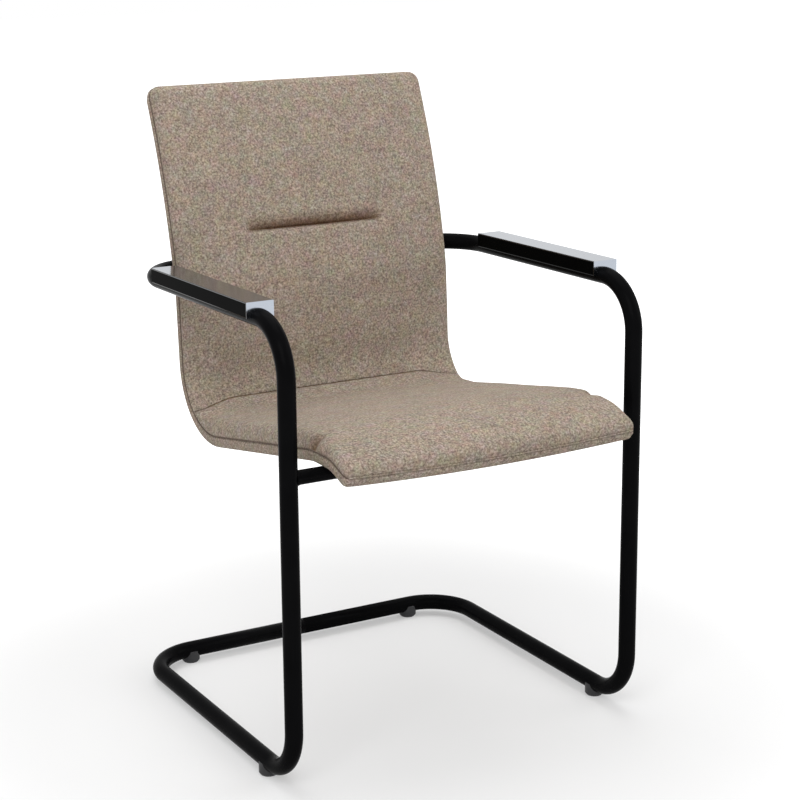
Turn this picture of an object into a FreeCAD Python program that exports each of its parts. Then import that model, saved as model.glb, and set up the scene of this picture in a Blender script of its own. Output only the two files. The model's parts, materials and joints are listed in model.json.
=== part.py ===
"""Sled base visitor chair: bent tube frame, upholstered one-piece shell and arm pads.

Millimetres. +Z is up and the sitter faces -Y. The model is drawn with the front legs on
y = 0 and moved at the end, so that the origin lies on the floor under its middle.
"""
import FreeCAD, Part
import math
import os
from dataclasses import dataclass

Vector = FreeCAD.Vector
RIGHT = Vector(1, 0, 0)
UP = Vector(0, 0, 1)

# Bent tube frame
FRAME_WIDTH = 574.8
TUBE_D = 25.0
TUBE_WALL = 2.0
ARM_HEIGHT = 648.0
ARM_DROP = 9.5
ARM_DEPTH = 484.8
LEG_LEAN = 5.0
RUNNER_DEPTH = 511.5
LEG_BEND_R = 72.0
FLOOR_BEND_R = 75.0
BACK_BEND_R = 82.0

# Bar under the front of the seat
SEAT_BAR_D = 20.0
SEAT_BAR_WALL = 1.5
SEAT_BAR_HEIGHT = 446.0

# Upholstered shell: moulded board, cover behind it and cushions in front of it
SHELL_WIDTH = 458.0
SHELL_HEIGHT = 898.5
BOARD_THICKNESS = 11.0
COVER_THICKNESS = 3.5
SEAM_INSET = 1.5
REAR_EDGE_R = 6.0
BACK_LEAN = 12.0
BACK_TOP_LEAN = 25.2
BACK_LAND = 28.0
LOWER_BACK_LEAN = 3.5
LUMBAR_R = 250.0
CORNER_R = 98.0
SEAM_TURN = 38.0
SEAT_SLOPE = 10.5
LAND_LENGTH = 51.5
LAND_REAR_REACH = 25.5
LAND_BEND_R = 80.0
NOSE_SLOPE = 19.5
NOSE_LENGTH = 54.0
NOSE_BOW = 9.0
SHELL_CORNER_R = 18.0

# Foam under the front cover
BACK_FOAM = 13.5
BACK_CROWN = 2.5
BACK_BLEND = 90.0
SEAT_FOAM = 24.5
SEAT_CROWN = 4.0
SEAT_BLEND = 85.0
NOSE_FOAM = 15.0
NOSE_BLEND = 144.0
EDGE_ROLL = 14.0
SEAM_FOAM = 2.5
SEAM_CROWN = 0.4
EDGE_ROLL_PER_HEIGHT = 1.2
EDGE_BULGE_INSET = 0.12
EDGE_BULGE_HEIGHT = 0.55
CREASE_LENGTH = 232.0
CREASE_DEPTH = 4.5
CREASE_RIM = 12.0
CREASE_HEIGHT = 693.0
SOFT_GAP = 0.3
SECTION_STEP = 30.0
SECTION_SAG = 0.15

# Saddles and screws that hold the shell on its two bars
FIXING_SPACING = 240.0
SADDLE_LENGTH = 40.0
SADDLE_WIDTH = 27.0
SEAT_SADDLE_WEB = 1.5
BACK_SADDLE_WEB = 6.6
SADDLE_WRAP = 7.0
SCREW_D = 6.0
SCREW_HEAD_D = 12.0
SCREW_HEAD_HEIGHT = 3.6
SCREW_CLEARANCE = 0.25
THREAD_CLEARANCE = 0.05
HEAD_CHAMFER_SHARE = 0.4
SOCKET_ACROSS_FLATS = 4.0
SOCKET_DEPTH = 2.2
TEE_FLANGE_D = 19.0
TEE_FLANGE_THICKNESS = 1.5
TEE_BARREL_D = 8.0
TEE_BARREL_LENGTH = 9.0

# Arm pads with a polished strip folded down over the front end
PAD_WIDTH = 40.0
PAD_LENGTH = 311.0
PAD_HEIGHT = 21.5
PAD_OVER_TUBE = 9.5
PAD_FRONT = 76.0
PAD_EDGE = 1.6
TRIM_THICKNESS = 1.6
TRIM_EDGE = 0.6
PAD_SCREW_D = 5.0
PAD_SCREW_HEAD_D = 9.5
PAD_SCREW_HEAD_HEIGHT = 3.0
PAD_ACCESS_D = 11.0
PAD_SCREW_INSET = 55.0
INSERT_D = 7.0
INSERT_LENGTH = 6.5

# Moulded glides under the runners and the rear floor bar
GLIDE_STAND = 6.8
GLIDE_D = 28.0
GLIDE_SOLE_D = 23.0
GLIDE_CHAMFER_HEIGHT = 3.2
GLIDE_EAR_CHAMFER = 0.8
GLIDE_PEG_D = 5.0
GLIDE_PEG_HEIGHT = 5.0
FRONT_GLIDE_Y = 80.0
REAR_GLIDE_INSET = 76.5

# How closely an edge or point must agree to count as found
NEAR = 0.01
STRAIGHT_SAG = 1e-6
PARALLEL = 0.999

TUBE_R = TUBE_D / 2
SIDE_X = (FRAME_WIDTH - TUBE_D) / 2
FLOOR_AXIS_Z = GLIDE_STAND + TUBE_R
SEAT_BAR_R = SEAT_BAR_D / 2
HALF_BOARD = BOARD_THICKNESS / 2
COVER_BACK = HALF_BOARD + COVER_THICKNESS


@dataclass
class Line:
    """Straight stretch of a path."""

    start: Vector
    end: Vector

    @property
    def length(self):
        return self.start.distanceToPoint(self.end)

    @property
    def section_step(self):
        return SECTION_STEP

    def point(self, share):
        return self.start + (self.end - self.start) * share

    def heading(self, share):
        return (self.end - self.start).normalize()

    def edge(self):
        return Part.makeLine(self.start, self.end)


@dataclass
class Bend:
    """Circular stretch of a path, turned about an axis through its centre."""

    start: Vector
    centre: Vector
    axis: Vector
    angle: float

    @property
    def length(self):
        return self.start.distanceToPoint(self.centre) * math.radians(self.angle)

    @property
    def section_step(self):
        return min(SECTION_STEP, math.sqrt(8 * SECTION_SAG * self.start.distanceToPoint(self.centre)))

    def spoke(self, share):
        turn = FreeCAD.Rotation(self.axis, self.angle * share)
        return turn.multVec(self.start - self.centre)

    def point(self, share):
        return self.centre + self.spoke(share)

    def heading(self, share):
        return self.axis.cross(self.spoke(share)).normalize()

    @property
    def end(self):
        return self.point(1)

    def edge(self):
        return Part.Arc(self.start, self.point(0.5), self.end).toShape()


def rounded_path(corners, radii):
    """Join the corners with straight stretches and tangent bends."""
    stretches = []
    start = corners[0]
    for before, corner, after, radius in zip(corners, corners[1:], corners[2:], radii):
        into = (corner - before).normalize()
        away = (after - corner).normalize()
        turn = into.getAngle(away)
        tangent = radius * math.tan(turn / 2)
        bend_start = corner - into * tangent
        axis = into.cross(away).normalize()
        centre = bend_start + axis.cross(into) * radius
        bend = Bend(bend_start, centre, axis, math.degrees(turn))
        stretches += [Line(start, bend_start), bend]
        start = bend.end
    stretches.append(Line(start, corners[-1]))
    return stretches


def joined(pieces):
    """One solid from pieces that touch."""
    return pieces[0].multiFuse(pieces[1:]).removeSplitter().Solids[0]


def round_bar(path, radius):
    """Solid round bar along a path of straight stretches and bends."""
    section = Part.Wire(Part.Circle(path[0].start, path[0].heading(0), radius).toShape())
    return Part.Wire([stretch.edge() for stretch in path]).makePipeShell([section], True, False)


def cylinder(diameter, start, end):
    """Round solid between two points."""
    return Part.makeCylinder(diameter / 2, start.distanceToPoint(end), start, end - start)


def mirrored(shape):
    """The same piece on the other side of the chair."""
    return shape.mirror(Vector(0, 0, 0), RIGHT)


def arm_point(y):
    """Point on the axis of the right arm tube at a given depth."""
    share = (y - LEG_LEAN) / (ARM_DEPTH - LEG_LEAN)
    return Vector(SIDE_X, y, ARM_HEIGHT - ARM_DROP * share)


def leg_y(z):
    """Depth of the leg axis at a given height."""
    return LEG_LEAN * (z - FLOOR_AXIS_Z) / (ARM_HEIGHT - FLOOR_AXIS_Z)


def frame_path():
    """Axis of the right half of the frame, from behind the backrest to the rear floor bar."""
    bar_z = ARM_HEIGHT - ARM_DROP
    corners = [
        Vector(0, ARM_DEPTH, bar_z),
        Vector(SIDE_X, ARM_DEPTH, bar_z),
        Vector(SIDE_X, LEG_LEAN, ARM_HEIGHT),
        Vector(SIDE_X, 0, FLOOR_AXIS_Z),
        Vector(SIDE_X, RUNNER_DEPTH, FLOOR_AXIS_Z),
        Vector(0, RUNNER_DEPTH, FLOOR_AXIS_Z),
    ]
    return rounded_path(corners, [BACK_BEND_R, LEG_BEND_R, LEG_BEND_R, FLOOR_BEND_R])


@dataclass
class Fixing:
    """Place where the shell is screwed to a bar: a point on the bar's axis and the way to the shell."""

    axis_point: Vector
    out: Vector
    bar_d: float
    web: float

    def at(self, x, distance):
        """Point beside the bar, measured from its axis towards the shell."""
        return self.axis_point + RIGHT * x + self.out * distance

    @property
    def web_top(self):
        """Distance from the bar's axis to the saddle's flat face."""
        return self.bar_d / 2 + self.web


def seat_fixing():
    """Fixing on the bar under the seat, where the shell has a level land."""
    return Fixing(Vector(0, leg_y(SEAT_BAR_HEIGHT), SEAT_BAR_HEIGHT), UP, SEAT_BAR_D, SEAT_SADDLE_WEB)


def back_fixing():
    """Fixing on the bar behind the backrest, square to the shell there."""
    bar = Vector(0, ARM_DEPTH, ARM_HEIGHT - ARM_DROP)
    return Fixing(bar, lean_normal(BACK_LEAN), TUBE_D, BACK_SADDLE_WEB)


def lean_normal(lean):
    """Forward normal of a back that leans by a number of degrees."""
    return Vector(0, -math.cos(math.radians(lean)), math.sin(math.radians(lean)))


def spine_path():
    """Middle line of the moulded board in side view, from the top of the back to the nose."""
    held = back_fixing()
    back_hold = held.at(0, held.web_top + COVER_BACK)
    half_land = RIGHT.cross(held.out) * (-BACK_LAND / 2)
    back_land = Line(back_hold + half_land, back_hold - half_land)
    upper_r = (SHELL_HEIGHT - back_land.start.z) / (
        math.sin(math.radians(BACK_TOP_LEAN)) - math.sin(math.radians(BACK_LEAN)))
    upper_centre = back_land.start - held.out * upper_r
    upper = Bend(upper_centre + lean_normal(BACK_TOP_LEAN) * upper_r, upper_centre, RIGHT,
                 BACK_TOP_LEAN - BACK_LEAN)
    lumbar = Bend(back_land.end, back_land.end - held.out * LUMBAR_R, RIGHT, BACK_LEAN - LOWER_BACK_LEAN)

    seat = seat_fixing()
    land_z = seat.at(0, seat.web_top + COVER_BACK).z
    land_rear = Vector(0, seat.axis_point.y + LAND_REAR_REACH, land_z)
    land_front = land_rear - Vector(0, LAND_LENGTH, 0)
    slope = math.tan(math.radians(SEAT_SLOPE))
    lean = math.tan(math.radians(LOWER_BACK_LEAN))
    seat_rise = land_rear.z + slope * land_rear.y - lumbar.end.z
    corner_y = (lumbar.end.y + lean * seat_rise) / (1 + lean * slope)
    corner = Vector(0, corner_y, land_rear.z - slope * (corner_y - land_rear.y))
    nose_angle = math.radians(NOSE_SLOPE)
    nose = land_front - Vector(0, math.cos(nose_angle), math.sin(nose_angle)) * NOSE_LENGTH
    lower_corners = [lumbar.end, corner, land_rear, land_front, nose]
    return [upper, back_land, lumbar] + rounded_path(lower_corners, [CORNER_R, LAND_BEND_R, LAND_BEND_R])


class Spine:
    """Side-view line of the shell, with the normal that points to the sitter."""

    def __init__(self, path):
        self.path = path
        self.length = sum(stretch.length for stretch in path)

    def frame_at(self, distance):
        """Point and sitter-side normal at a distance from the top."""
        for stretch in self.path:
            if distance <= stretch.length or stretch is self.path[-1]:
                share = distance / stretch.length
                return stretch.point(share), RIGHT.cross(stretch.heading(share)) * -1
            distance -= stretch.length

    def beside(self, distance, offset, x=0):
        """Point at a distance along the line, an offset to the sitter's side and a width."""
        point, normal = self.frame_at(distance)
        return point + normal * offset + RIGHT * x

    def joints(self, start, end):
        """Distances of the ends and of the joints between stretches."""
        marks = [start]
        walked = 0
        for stretch in self.path[:-1]:
            walked += stretch.length
            if start < walked < end:
                marks.append(walked)
        return marks + [end]

    def stations(self, start, end):
        """Distances of cushion sections, close enough together to follow every bend."""
        marks = [start]
        walked = 0
        for stretch in self.path:
            first, last = max(walked, start), min(walked + stretch.length, end)
            walked += stretch.length
            if first < last:
                marks += even_stations(first, last, stretch.section_step)
        return marks

    def offset_edges(self, start, end, offset):
        """Lines and arcs that follow part of the line at one side of it."""
        marks = self.joints(start, end)
        edges = []
        for first, last in zip(marks, marks[1:]):
            points = [self.beside(d, offset) for d in (first, (first + last) / 2, last)]
            chord = points[0].distanceToPoint(points[2])
            sag = points[1].distanceToPoint((points[0] + points[2]) * 0.5)
            straight = sag < chord * STRAIGHT_SAG
            edges.append(Part.LineSegment(points[0], points[2]) if straight else Part.Arc(*points))
        return [edge.toShape() for edge in edges]

    def slab(self, start, end, low, high, width):
        """Bent plate between two offsets, as wide as given."""
        front = self.offset_edges(start, end, high)
        back = self.offset_edges(start, end, low)
        caps = [Part.makeLine(self.beside(d, low), self.beside(d, high)) for d in (start, end)]
        outline = Part.Wire(Part.__sortEdges__(front + back + caps))
        outline.translate(RIGHT * (-width / 2))
        return Part.Face(outline).extrude(RIGHT * width)

    def distance_at_height(self, z):
        """Distance from the top to a height on the upper back."""
        low, high = 0, self.path[0].length
        while high - low > NEAR / 10:
            middle = (low + high) / 2
            low, high = (middle, high) if self.frame_at(middle)[0].z > z else (low, middle)
        return low


def corner_edges(shape, spine, start, end, half_width):
    """Short edges across the thickness at the four corners of a bent plate."""
    found = []
    for distance in (start, end):
        point, normal = spine.frame_at(distance)
        for edge in shape.Edges:
            middle = edge.CenterOfMass - point
            level = middle - normal * middle.dot(normal)
            on_side = abs(abs(level.x) - half_width) < NEAR
            near_end = abs(level.y) < 2 * NOSE_BOW
            if on_side and near_end and edge.Length < BOARD_THICKNESS + 2 * COVER_THICKNESS:
                found.append(edge)
    return found


def bow_radius():
    """Radius of the bowed front edge of the seat, seen square to the nose."""
    half_width = SHELL_WIDTH / 2
    return (half_width ** 2 + NOSE_BOW ** 2) / (2 * NOSE_BOW)


def bowed_front(spine, radius):
    """Large disc, square to the nose, whose rim is the bowed front edge."""
    tip, normal = spine.frame_at(spine.length)
    centre = tip - spine.path[-1].heading(1) * bow_radius()
    return Part.makeCylinder(radius, 4 * SHELL_HEIGHT, centre - normal * 2 * SHELL_HEIGHT, normal)


def rounded_slab(spine, inset, low, high):
    """Bent plate with a bowed front and rounded corners, set in from the outline of the cover."""
    start, end = inset, spine.length - inset
    half_width = SHELL_WIDTH / 2 - SEAM_INSET - inset
    plate = spine.slab(start, end, low, high, 2 * half_width)
    plate = plate.common(bowed_front(spine, bow_radius() - inset)).Solids[0]
    return plate.makeFillet(SHELL_CORNER_R - inset, corner_edges(plate, spine, start, end, half_width))


def fixing_xs():
    """Places of the two screws on a bar."""
    return (-FIXING_SPACING / 2, FIXING_SPACING / 2)


def fixing_holes(fixing, diameter, reach):
    """Round cutters along both screws of a bar."""
    holes = [cylinder(diameter, fixing.at(x, -reach), fixing.at(x, reach)) for x in fixing_xs()]
    return holes[0].fuse(holes[1])


def tee_nut_top(fixing):
    """Distance from the bar's axis to the sitter-side face of the board."""
    return fixing.web_top + COVER_BACK + HALF_BOARD


def tee_nut_space(fixing):
    """Barrel and flange of both tee nuts of a bar, which is also their seat in the board."""
    top = tee_nut_top(fixing)
    pieces = []
    for x in fixing_xs():
        for diameter, depth in ((TEE_BARREL_D, TEE_BARREL_LENGTH), (TEE_FLANGE_D, TEE_FLANGE_THICKNESS)):
            pieces.append(cylinder(diameter, fixing.at(x, top - depth), fixing.at(x, top)))
    return pieces[0].multiFuse(pieces[1:]).removeSplitter()


def frame_halves():
    """Hollow left and right halves of the frame, butt welded behind the back and at the rear."""
    path = frame_path()
    half = round_bar(path, TUBE_R).cut(round_bar(path, TUBE_R - TUBE_WALL))
    half = half.cut(fixing_holes(back_fixing(), SCREW_D + 2 * SCREW_CLEARANCE, TUBE_D))
    for start, end in pad_screw_axes():
        out = (end - start).normalize()
        half = half.cut(cylinder(PAD_SCREW_D + 2 * SCREW_CLEARANCE, start, end))
        half = half.cut(cylinder(PAD_ACCESS_D, start - out * TUBE_D, start - out * (TUBE_R - TUBE_WALL)))
    for foot in (front_glide_foot(), rear_glide_foot()):
        peg = cylinder(GLIDE_PEG_D, foot, foot + UP * (GLIDE_STAND + TUBE_R))
        half = half.cut(peg)
    return mirrored(half), half


def seat_crossbar():
    """Thinner tube between the front legs, coped to fit round them."""
    centre = seat_fixing().axis_point
    ends = [centre - RIGHT * SIDE_X, centre + RIGHT * SIDE_X]
    bar = cylinder(SEAT_BAR_D, *ends).cut(cylinder(SEAT_BAR_D - 2 * SEAT_BAR_WALL, *ends))
    legs = round_bar(frame_path(), TUBE_R)
    bar = bar.cut(legs).cut(mirrored(legs))
    return bar.cut(fixing_holes(seat_fixing(), SCREW_D + 2 * SCREW_CLEARANCE, SEAT_BAR_D))


def saddle(fixing, x):
    """Moulded block that beds a round bar against the flat of the shell."""
    across = RIGHT.cross(fixing.out)
    low = fixing.at(x, fixing.bar_d / 2 - SADDLE_WRAP)
    corners = []
    for side, level in ((-1, 0), (1, 0), (1, 1), (-1, 1)):
        lift = fixing.out * (fixing.web_top - fixing.bar_d / 2 + SADDLE_WRAP) * level
        corners.append(low + across * (side * SADDLE_WIDTH / 2) + lift - RIGHT * (SADDLE_LENGTH / 2))
    block = Part.Face(Part.makePolygon(corners + corners[:1])).extrude(RIGHT * SADDLE_LENGTH)
    bar = cylinder(fixing.bar_d, fixing.at(x - SADDLE_LENGTH, 0), fixing.at(x + SADDLE_LENGTH, 0))
    return block.cut(bar).cut(fixing_holes(fixing, SCREW_D + 2 * SCREW_CLEARANCE, 2 * fixing.bar_d))


def screw(diameter, head_d, head_height, seat_point, out, length):
    """Pan head screw with a hexagon socket, its head seated at a point."""
    shank = cylinder(diameter, seat_point, seat_point + out * length)
    head = cylinder(head_d, seat_point - out * head_height, seat_point)
    rim = [edge for edge in head.Edges if (edge.CenterOfMass - seat_point).dot(out) < -head_height / 2
           and isinstance(edge.Curve, Part.Circle)]
    head = head.makeChamfer(head_height * HEAD_CHAMFER_SHARE, rim)
    bottom = seat_point - out * head_height
    spoke = out.cross(RIGHT) * (SOCKET_ACROSS_FLATS / math.sqrt(3))
    points = [bottom + FreeCAD.Rotation(out, 60 * k).multVec(spoke) for k in range(7)]
    socket = Part.Face(Part.makePolygon(points)).extrude(out * SOCKET_DEPTH)
    return joined([head, shank]).cut(socket)


def shell_screws(fixing):
    """Both screws of a bar, from the far side of the tube into the tee nuts."""
    far_side = -fixing.bar_d / 2
    length = tee_nut_top(fixing) - TEE_FLANGE_THICKNESS - far_side
    return [screw(SCREW_D, SCREW_HEAD_D, SCREW_HEAD_HEIGHT, fixing.at(x, far_side), fixing.out, length)
            for x in fixing_xs()]


def tee_nuts(fixing):
    """Both tee nuts of a bar, their flanges flush with the board."""
    threads = fixing_holes(fixing, SCREW_D + 2 * THREAD_CLEARANCE, 3 * fixing.bar_d)
    return tee_nut_space(fixing).cut(threads).Solids


def shell_board(spine):
    """Moulded plywood board, bent in one piece for seat and back."""
    board = rounded_slab(spine, COVER_THICKNESS, -HALF_BOARD, HALF_BOARD)
    for fixing in (seat_fixing(), back_fixing()):
        board = board.cut(tee_nut_space(fixing))
        board = board.cut(fixing_holes(fixing, TEE_BARREL_D, 2 * fixing.bar_d))
    return board


def rear_rim(tray, spine):
    """Edges of the tray's outline on the side away from the sitter."""
    rear = Part.Wire(spine.offset_edges(0, spine.length, -COVER_BACK))
    half_width = SHELL_WIDTH / 2 - SEAM_INSET
    found = []
    for edge in tray.Edges:
        middle = edge.valueAt((edge.FirstParameter + edge.LastParameter) / 2)
        on_rear = rear.distToShape(Part.Vertex(0, middle.y, middle.z))[0] < 5 * NEAR
        across = abs(edge.valueAt(edge.FirstParameter).x + edge.valueAt(edge.LastParameter).x) < NEAR
        to_ends = [middle.distanceToPoint(spine.beside(d, -COVER_BACK)) for d in (0, spine.length)]
        at_end = min(to_ends) < SEAM_INSET
        if on_rear and (not across or at_end) and abs(middle.x) <= half_width + NEAR:
            found.append(edge)
    return found


def rear_cover(spine):
    """Upholstered tray behind and under the board, drawn up round its edge to the seam."""
    tray = rounded_slab(spine, 0, -COVER_BACK, HALF_BOARD)
    tray = tray.makeFillet(REAR_EDGE_R, rear_rim(tray, spine))
    tray = tray.cut(rounded_slab(spine, COVER_THICKNESS, -HALF_BOARD, BOARD_THICKNESS))
    for fixing in (seat_fixing(), back_fixing()):
        tray = tray.cut(fixing_holes(fixing, SCREW_D + 2 * SCREW_CLEARANCE, 2 * fixing.bar_d))
    return tray


def cushion_section(spine, distance, half_width, edge_height, crown):
    """Closed section of a cushion: flat base, drawn-in sides and a crowned top."""
    def place(x, height):
        return spine.beside(distance, HALF_BOARD + SOFT_GAP + height, x)

    roll = min(EDGE_ROLL, edge_height * EDGE_ROLL_PER_HEIGHT)
    bulge = half_width - EDGE_BULGE_INSET * roll
    bulge_height = EDGE_BULGE_HEIGHT * edge_height
    base = half_width - SEAM_INSET
    shoulder = half_width - roll
    left_side = Part.Arc(place(-base, 0), place(-bulge, bulge_height), place(-shoulder, edge_height))
    top = Part.Arc(place(-shoulder, edge_height), place(0, edge_height + crown),
                   place(shoulder, edge_height))
    right_side = Part.Arc(place(shoulder, edge_height), place(bulge, bulge_height), place(base, 0))
    bottom = Part.LineSegment(place(base, 0), place(-base, 0))
    return Part.Wire([curve.toShape() for curve in (left_side, top, right_side, bottom)])


def eased(distance, length):
    """Share of the full foam at a distance from a sewn seam: soft at both ends."""
    return math.sin(math.pi / 2 * min(distance / length, 1)) ** 2


def rolled(distance, radius):
    """Share of a quarter round at a distance from a rounded end."""
    reach = 1 - min(distance / radius, 1)
    return math.sqrt(1 - reach * reach)


def end_stations(radius, count):
    """Distances from a rounded end, close together where it turns most."""
    return [radius * (1 - math.cos(math.pi / 2 * k / count)) for k in range(count + 1)]


def even_stations(start, end, step):
    """Evenly spaced distances between two marks, without the first."""
    count = math.ceil((end - start) / step)
    return [start + (end - start) * (k + 1) / count for k in range(count)]


def half_width_at(from_end):
    """Half width of a cushion at a distance from its free end, with rounded corners."""
    return SHELL_WIDTH / 2 - SHELL_CORNER_R * (1 - rolled(from_end, SHELL_CORNER_R))


def seam_distance(spine):
    """Distance from the top to the seam between seat and back."""
    back_length = sum(stretch.length for stretch in spine.path[:4])
    return back_length + CORNER_R * math.radians(SEAM_TURN)


def crease_wheel(spine):
    """Large wheel with a V-shaped rim that sinks the sewn crease into the lower back."""
    radius = (CREASE_LENGTH ** 2 / 4 + CREASE_DEPTH ** 2) / (2 * CREASE_DEPTH)
    at = spine.distance_at_height(CREASE_HEIGHT)
    surface = HALF_BOARD + SOFT_GAP + BACK_FOAM + BACK_CROWN
    centre = spine.beside(at, surface - CREASE_DEPTH + radius)
    axis = spine.frame_at(at)[1].cross(RIGHT)
    half = Part.makeCone(radius, radius - CREASE_RIM, CREASE_RIM, centre, axis)
    return half.fuse(Part.makeCone(radius, radius - CREASE_RIM, CREASE_RIM, centre, axis * -1))


def back_cushion(spine):
    """Padded front of the back, thinned to the seat seam, with one sewn crease at the lumbar."""
    end = seam_distance(spine) - SOFT_GAP
    stations = end_stations(EDGE_ROLL, 4)[:-1] + spine.stations(EDGE_ROLL, end)
    sections = []
    for distance in stations:
        share = rolled(distance, EDGE_ROLL) * eased(end - distance, BACK_BLEND)
        height = SEAM_FOAM + (BACK_FOAM - SEAM_FOAM) * share
        crown = SEAM_CROWN + (BACK_CROWN - SEAM_CROWN) * share
        sections.append(cushion_section(spine, distance, half_width_at(distance), height, crown))
    return Part.makeLoft(sections, True, True).cut(crease_wheel(spine))


def nose_roll(spine):
    """Large disc with a rounded rim that rolls the front of the seat cushion down to the seam."""
    tip, normal = spine.frame_at(spine.length)
    ahead = spine.path[-1].heading(1)
    centre = tip - ahead * bow_radius() + normal * (HALF_BOARD + SOFT_GAP)
    top = NOSE_FOAM + SEAT_CROWN

    def place(reach, height):
        return centre + ahead * reach + normal * height

    rim = bow_radius()
    middle = math.sqrt(0.5)
    roll = Part.Arc(place(rim, SEAM_FOAM),
                    place(rim - EDGE_ROLL * (1 - middle), SEAM_FOAM + (top - SEAM_FOAM) * middle),
                    place(rim - EDGE_ROLL, top)).toShape()
    outline = Part.makePolygon([place(rim - EDGE_ROLL, top), place(rim - EDGE_ROLL, SHELL_HEIGHT),
                                place(0, SHELL_HEIGHT), place(0, -SHELL_HEIGHT),
                                place(rim, -SHELL_HEIGHT), place(rim, SEAM_FOAM)])
    return Part.Face(Part.Wire([roll] + outline.Edges)).revolve(centre, normal, 360)


def seat_cushion(spine):
    """Padded top of the seat: rises from the seam, thins towards the nose and rolls over it."""
    start = seam_distance(spine) + SOFT_GAP
    side_end = spine.length - NOSE_BOW
    stations = spine.stations(start, side_end - SHELL_CORNER_R)
    stations += [side_end - d for d in reversed(end_stations(SHELL_CORNER_R, 4)[:-1])] + [spine.length]
    sections = []
    for distance in stations:
        thinned = NOSE_FOAM + (SEAT_FOAM - NOSE_FOAM) * min((spine.length - distance) / NOSE_BLEND, 1)
        share = eased(distance - start, SEAT_BLEND)
        height = SEAM_FOAM + (thinned - SEAM_FOAM) * share
        crown = SEAM_CROWN + (SEAT_CROWN - SEAM_CROWN) * share
        half_width = half_width_at(max(side_end - distance, 0))
        sections.append(cushion_section(spine, distance, half_width, height, crown))
    return Part.makeLoft(sections, True, True).common(nose_roll(spine)).Solids[0]


def arm_direction():
    """Direction of the arm tube, towards the back."""
    return (arm_point(ARM_DEPTH) - arm_point(LEG_LEAN)).normalize()


def pad_block(front, length, low, high, half_width):
    """Block along the arm, its heights measured square to the tube's axis."""
    along = arm_direction()
    lift = RIGHT.cross(along)
    start = arm_point(PAD_FRONT) + along * front
    corners = [start + RIGHT * x + lift * z for x, z in
               ((-half_width, low), (half_width, low), (half_width, high), (-half_width, high))]
    return Part.Face(Part.makePolygon(corners + corners[:1])).extrude(along * length)


def pad_levels():
    """Underside and top of an arm pad above the tube's axis."""
    top = TUBE_R + PAD_OVER_TUBE
    return top - PAD_HEIGHT, top


def arm_tube_space():
    """Straight round space that the arm tube fills under the pad."""
    along = arm_direction()
    start = arm_point(PAD_FRONT) - along * PAD_LENGTH
    return cylinder(TUBE_D, start, start + along * 3 * PAD_LENGTH)


def edges_along(shape, direction):
    """Straight edges of a shape that run along a direction."""
    found = []
    for edge in shape.Edges:
        if isinstance(edge.Curve, Part.Line):
            if abs(edge.Curve.Direction.dot(direction)) > PARALLEL:
                found.append(edge)
    return found


def pad_screw_axes():
    """Start and end of each pad screw, from inside the top wall of the tube up into the pad."""
    along = arm_direction()
    lift = RIGHT.cross(along)
    head_seat = math.sqrt((TUBE_R - TUBE_WALL) ** 2 - PAD_SCREW_HEAD_D ** 2 / 4)
    axes = []
    for distance in (PAD_SCREW_INSET, PAD_LENGTH - PAD_SCREW_INSET):
        foot = arm_point(PAD_FRONT) + along * distance
        axes.append((foot + lift * head_seat, foot + lift * (TUBE_R + INSERT_LENGTH)))
    return axes


def arm_pad():
    """Right arm pad: a chamfered block that straddles the tube, with seats for its inserts."""
    low, high = pad_levels()
    block = pad_block(TRIM_THICKNESS, PAD_LENGTH - TRIM_THICKNESS, low, high - TRIM_THICKNESS, PAD_WIDTH / 2)
    under = [edge for edge in edges_along(block, arm_direction())
             if (edge.CenterOfMass - block.CenterOfMass).dot(UP) < 0]
    block = block.makeChamfer(PAD_EDGE, under)
    block = block.cut(arm_tube_space())
    for start, end in pad_screw_axes():
        block = block.cut(cylinder(INSERT_D, start, end))
    return block


def arm_trim():
    """Right arm trim: polished strip on the pad, folded down over the front with an arch for the tube."""
    low, high = pad_levels()
    strip = pad_block(0, PAD_LENGTH, high - TRIM_THICKNESS, high, PAD_WIDTH / 2)
    end_plate = pad_block(0, TRIM_THICKNESS, low, high, PAD_WIDTH / 2)
    trim = joined([strip, end_plate])
    upper = [edge for edge in edges_along(trim, arm_direction())
             if (edge.CenterOfMass - trim.CenterOfMass).dot(UP) > 0]
    return trim.makeChamfer(TRIM_EDGE, upper).cut(arm_tube_space())


def arm_pad_screws():
    """Screws in the right arm tube, reached from below, that pull the pad down."""
    made = []
    for start, end in pad_screw_axes():
        out = (end - start).normalize()
        length = start.distanceToPoint(end)
        made.append(screw(PAD_SCREW_D, PAD_SCREW_HEAD_D, PAD_SCREW_HEAD_HEIGHT, start, out, length))
    return made


def arm_pad_inserts():
    """Threaded inserts moulded into the right arm pad above the tube."""
    made = []
    for start, end in pad_screw_axes():
        out = (end - start).normalize()
        sleeve = cylinder(INSERT_D, end - out * (INSERT_LENGTH - SOFT_GAP), end)
        made.append(sleeve.cut(cylinder(PAD_SCREW_D + 2 * THREAD_CLEARANCE, start, end)))
    return made


def front_glide_foot():
    """Point on the floor under the right front glide."""
    return Vector(SIDE_X, FRONT_GLIDE_Y, 0)


def rear_glide_foot():
    """Point on the floor under the right rear glide."""
    return Vector(SIDE_X - REAR_GLIDE_INSET, RUNNER_DEPTH, 0)


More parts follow.
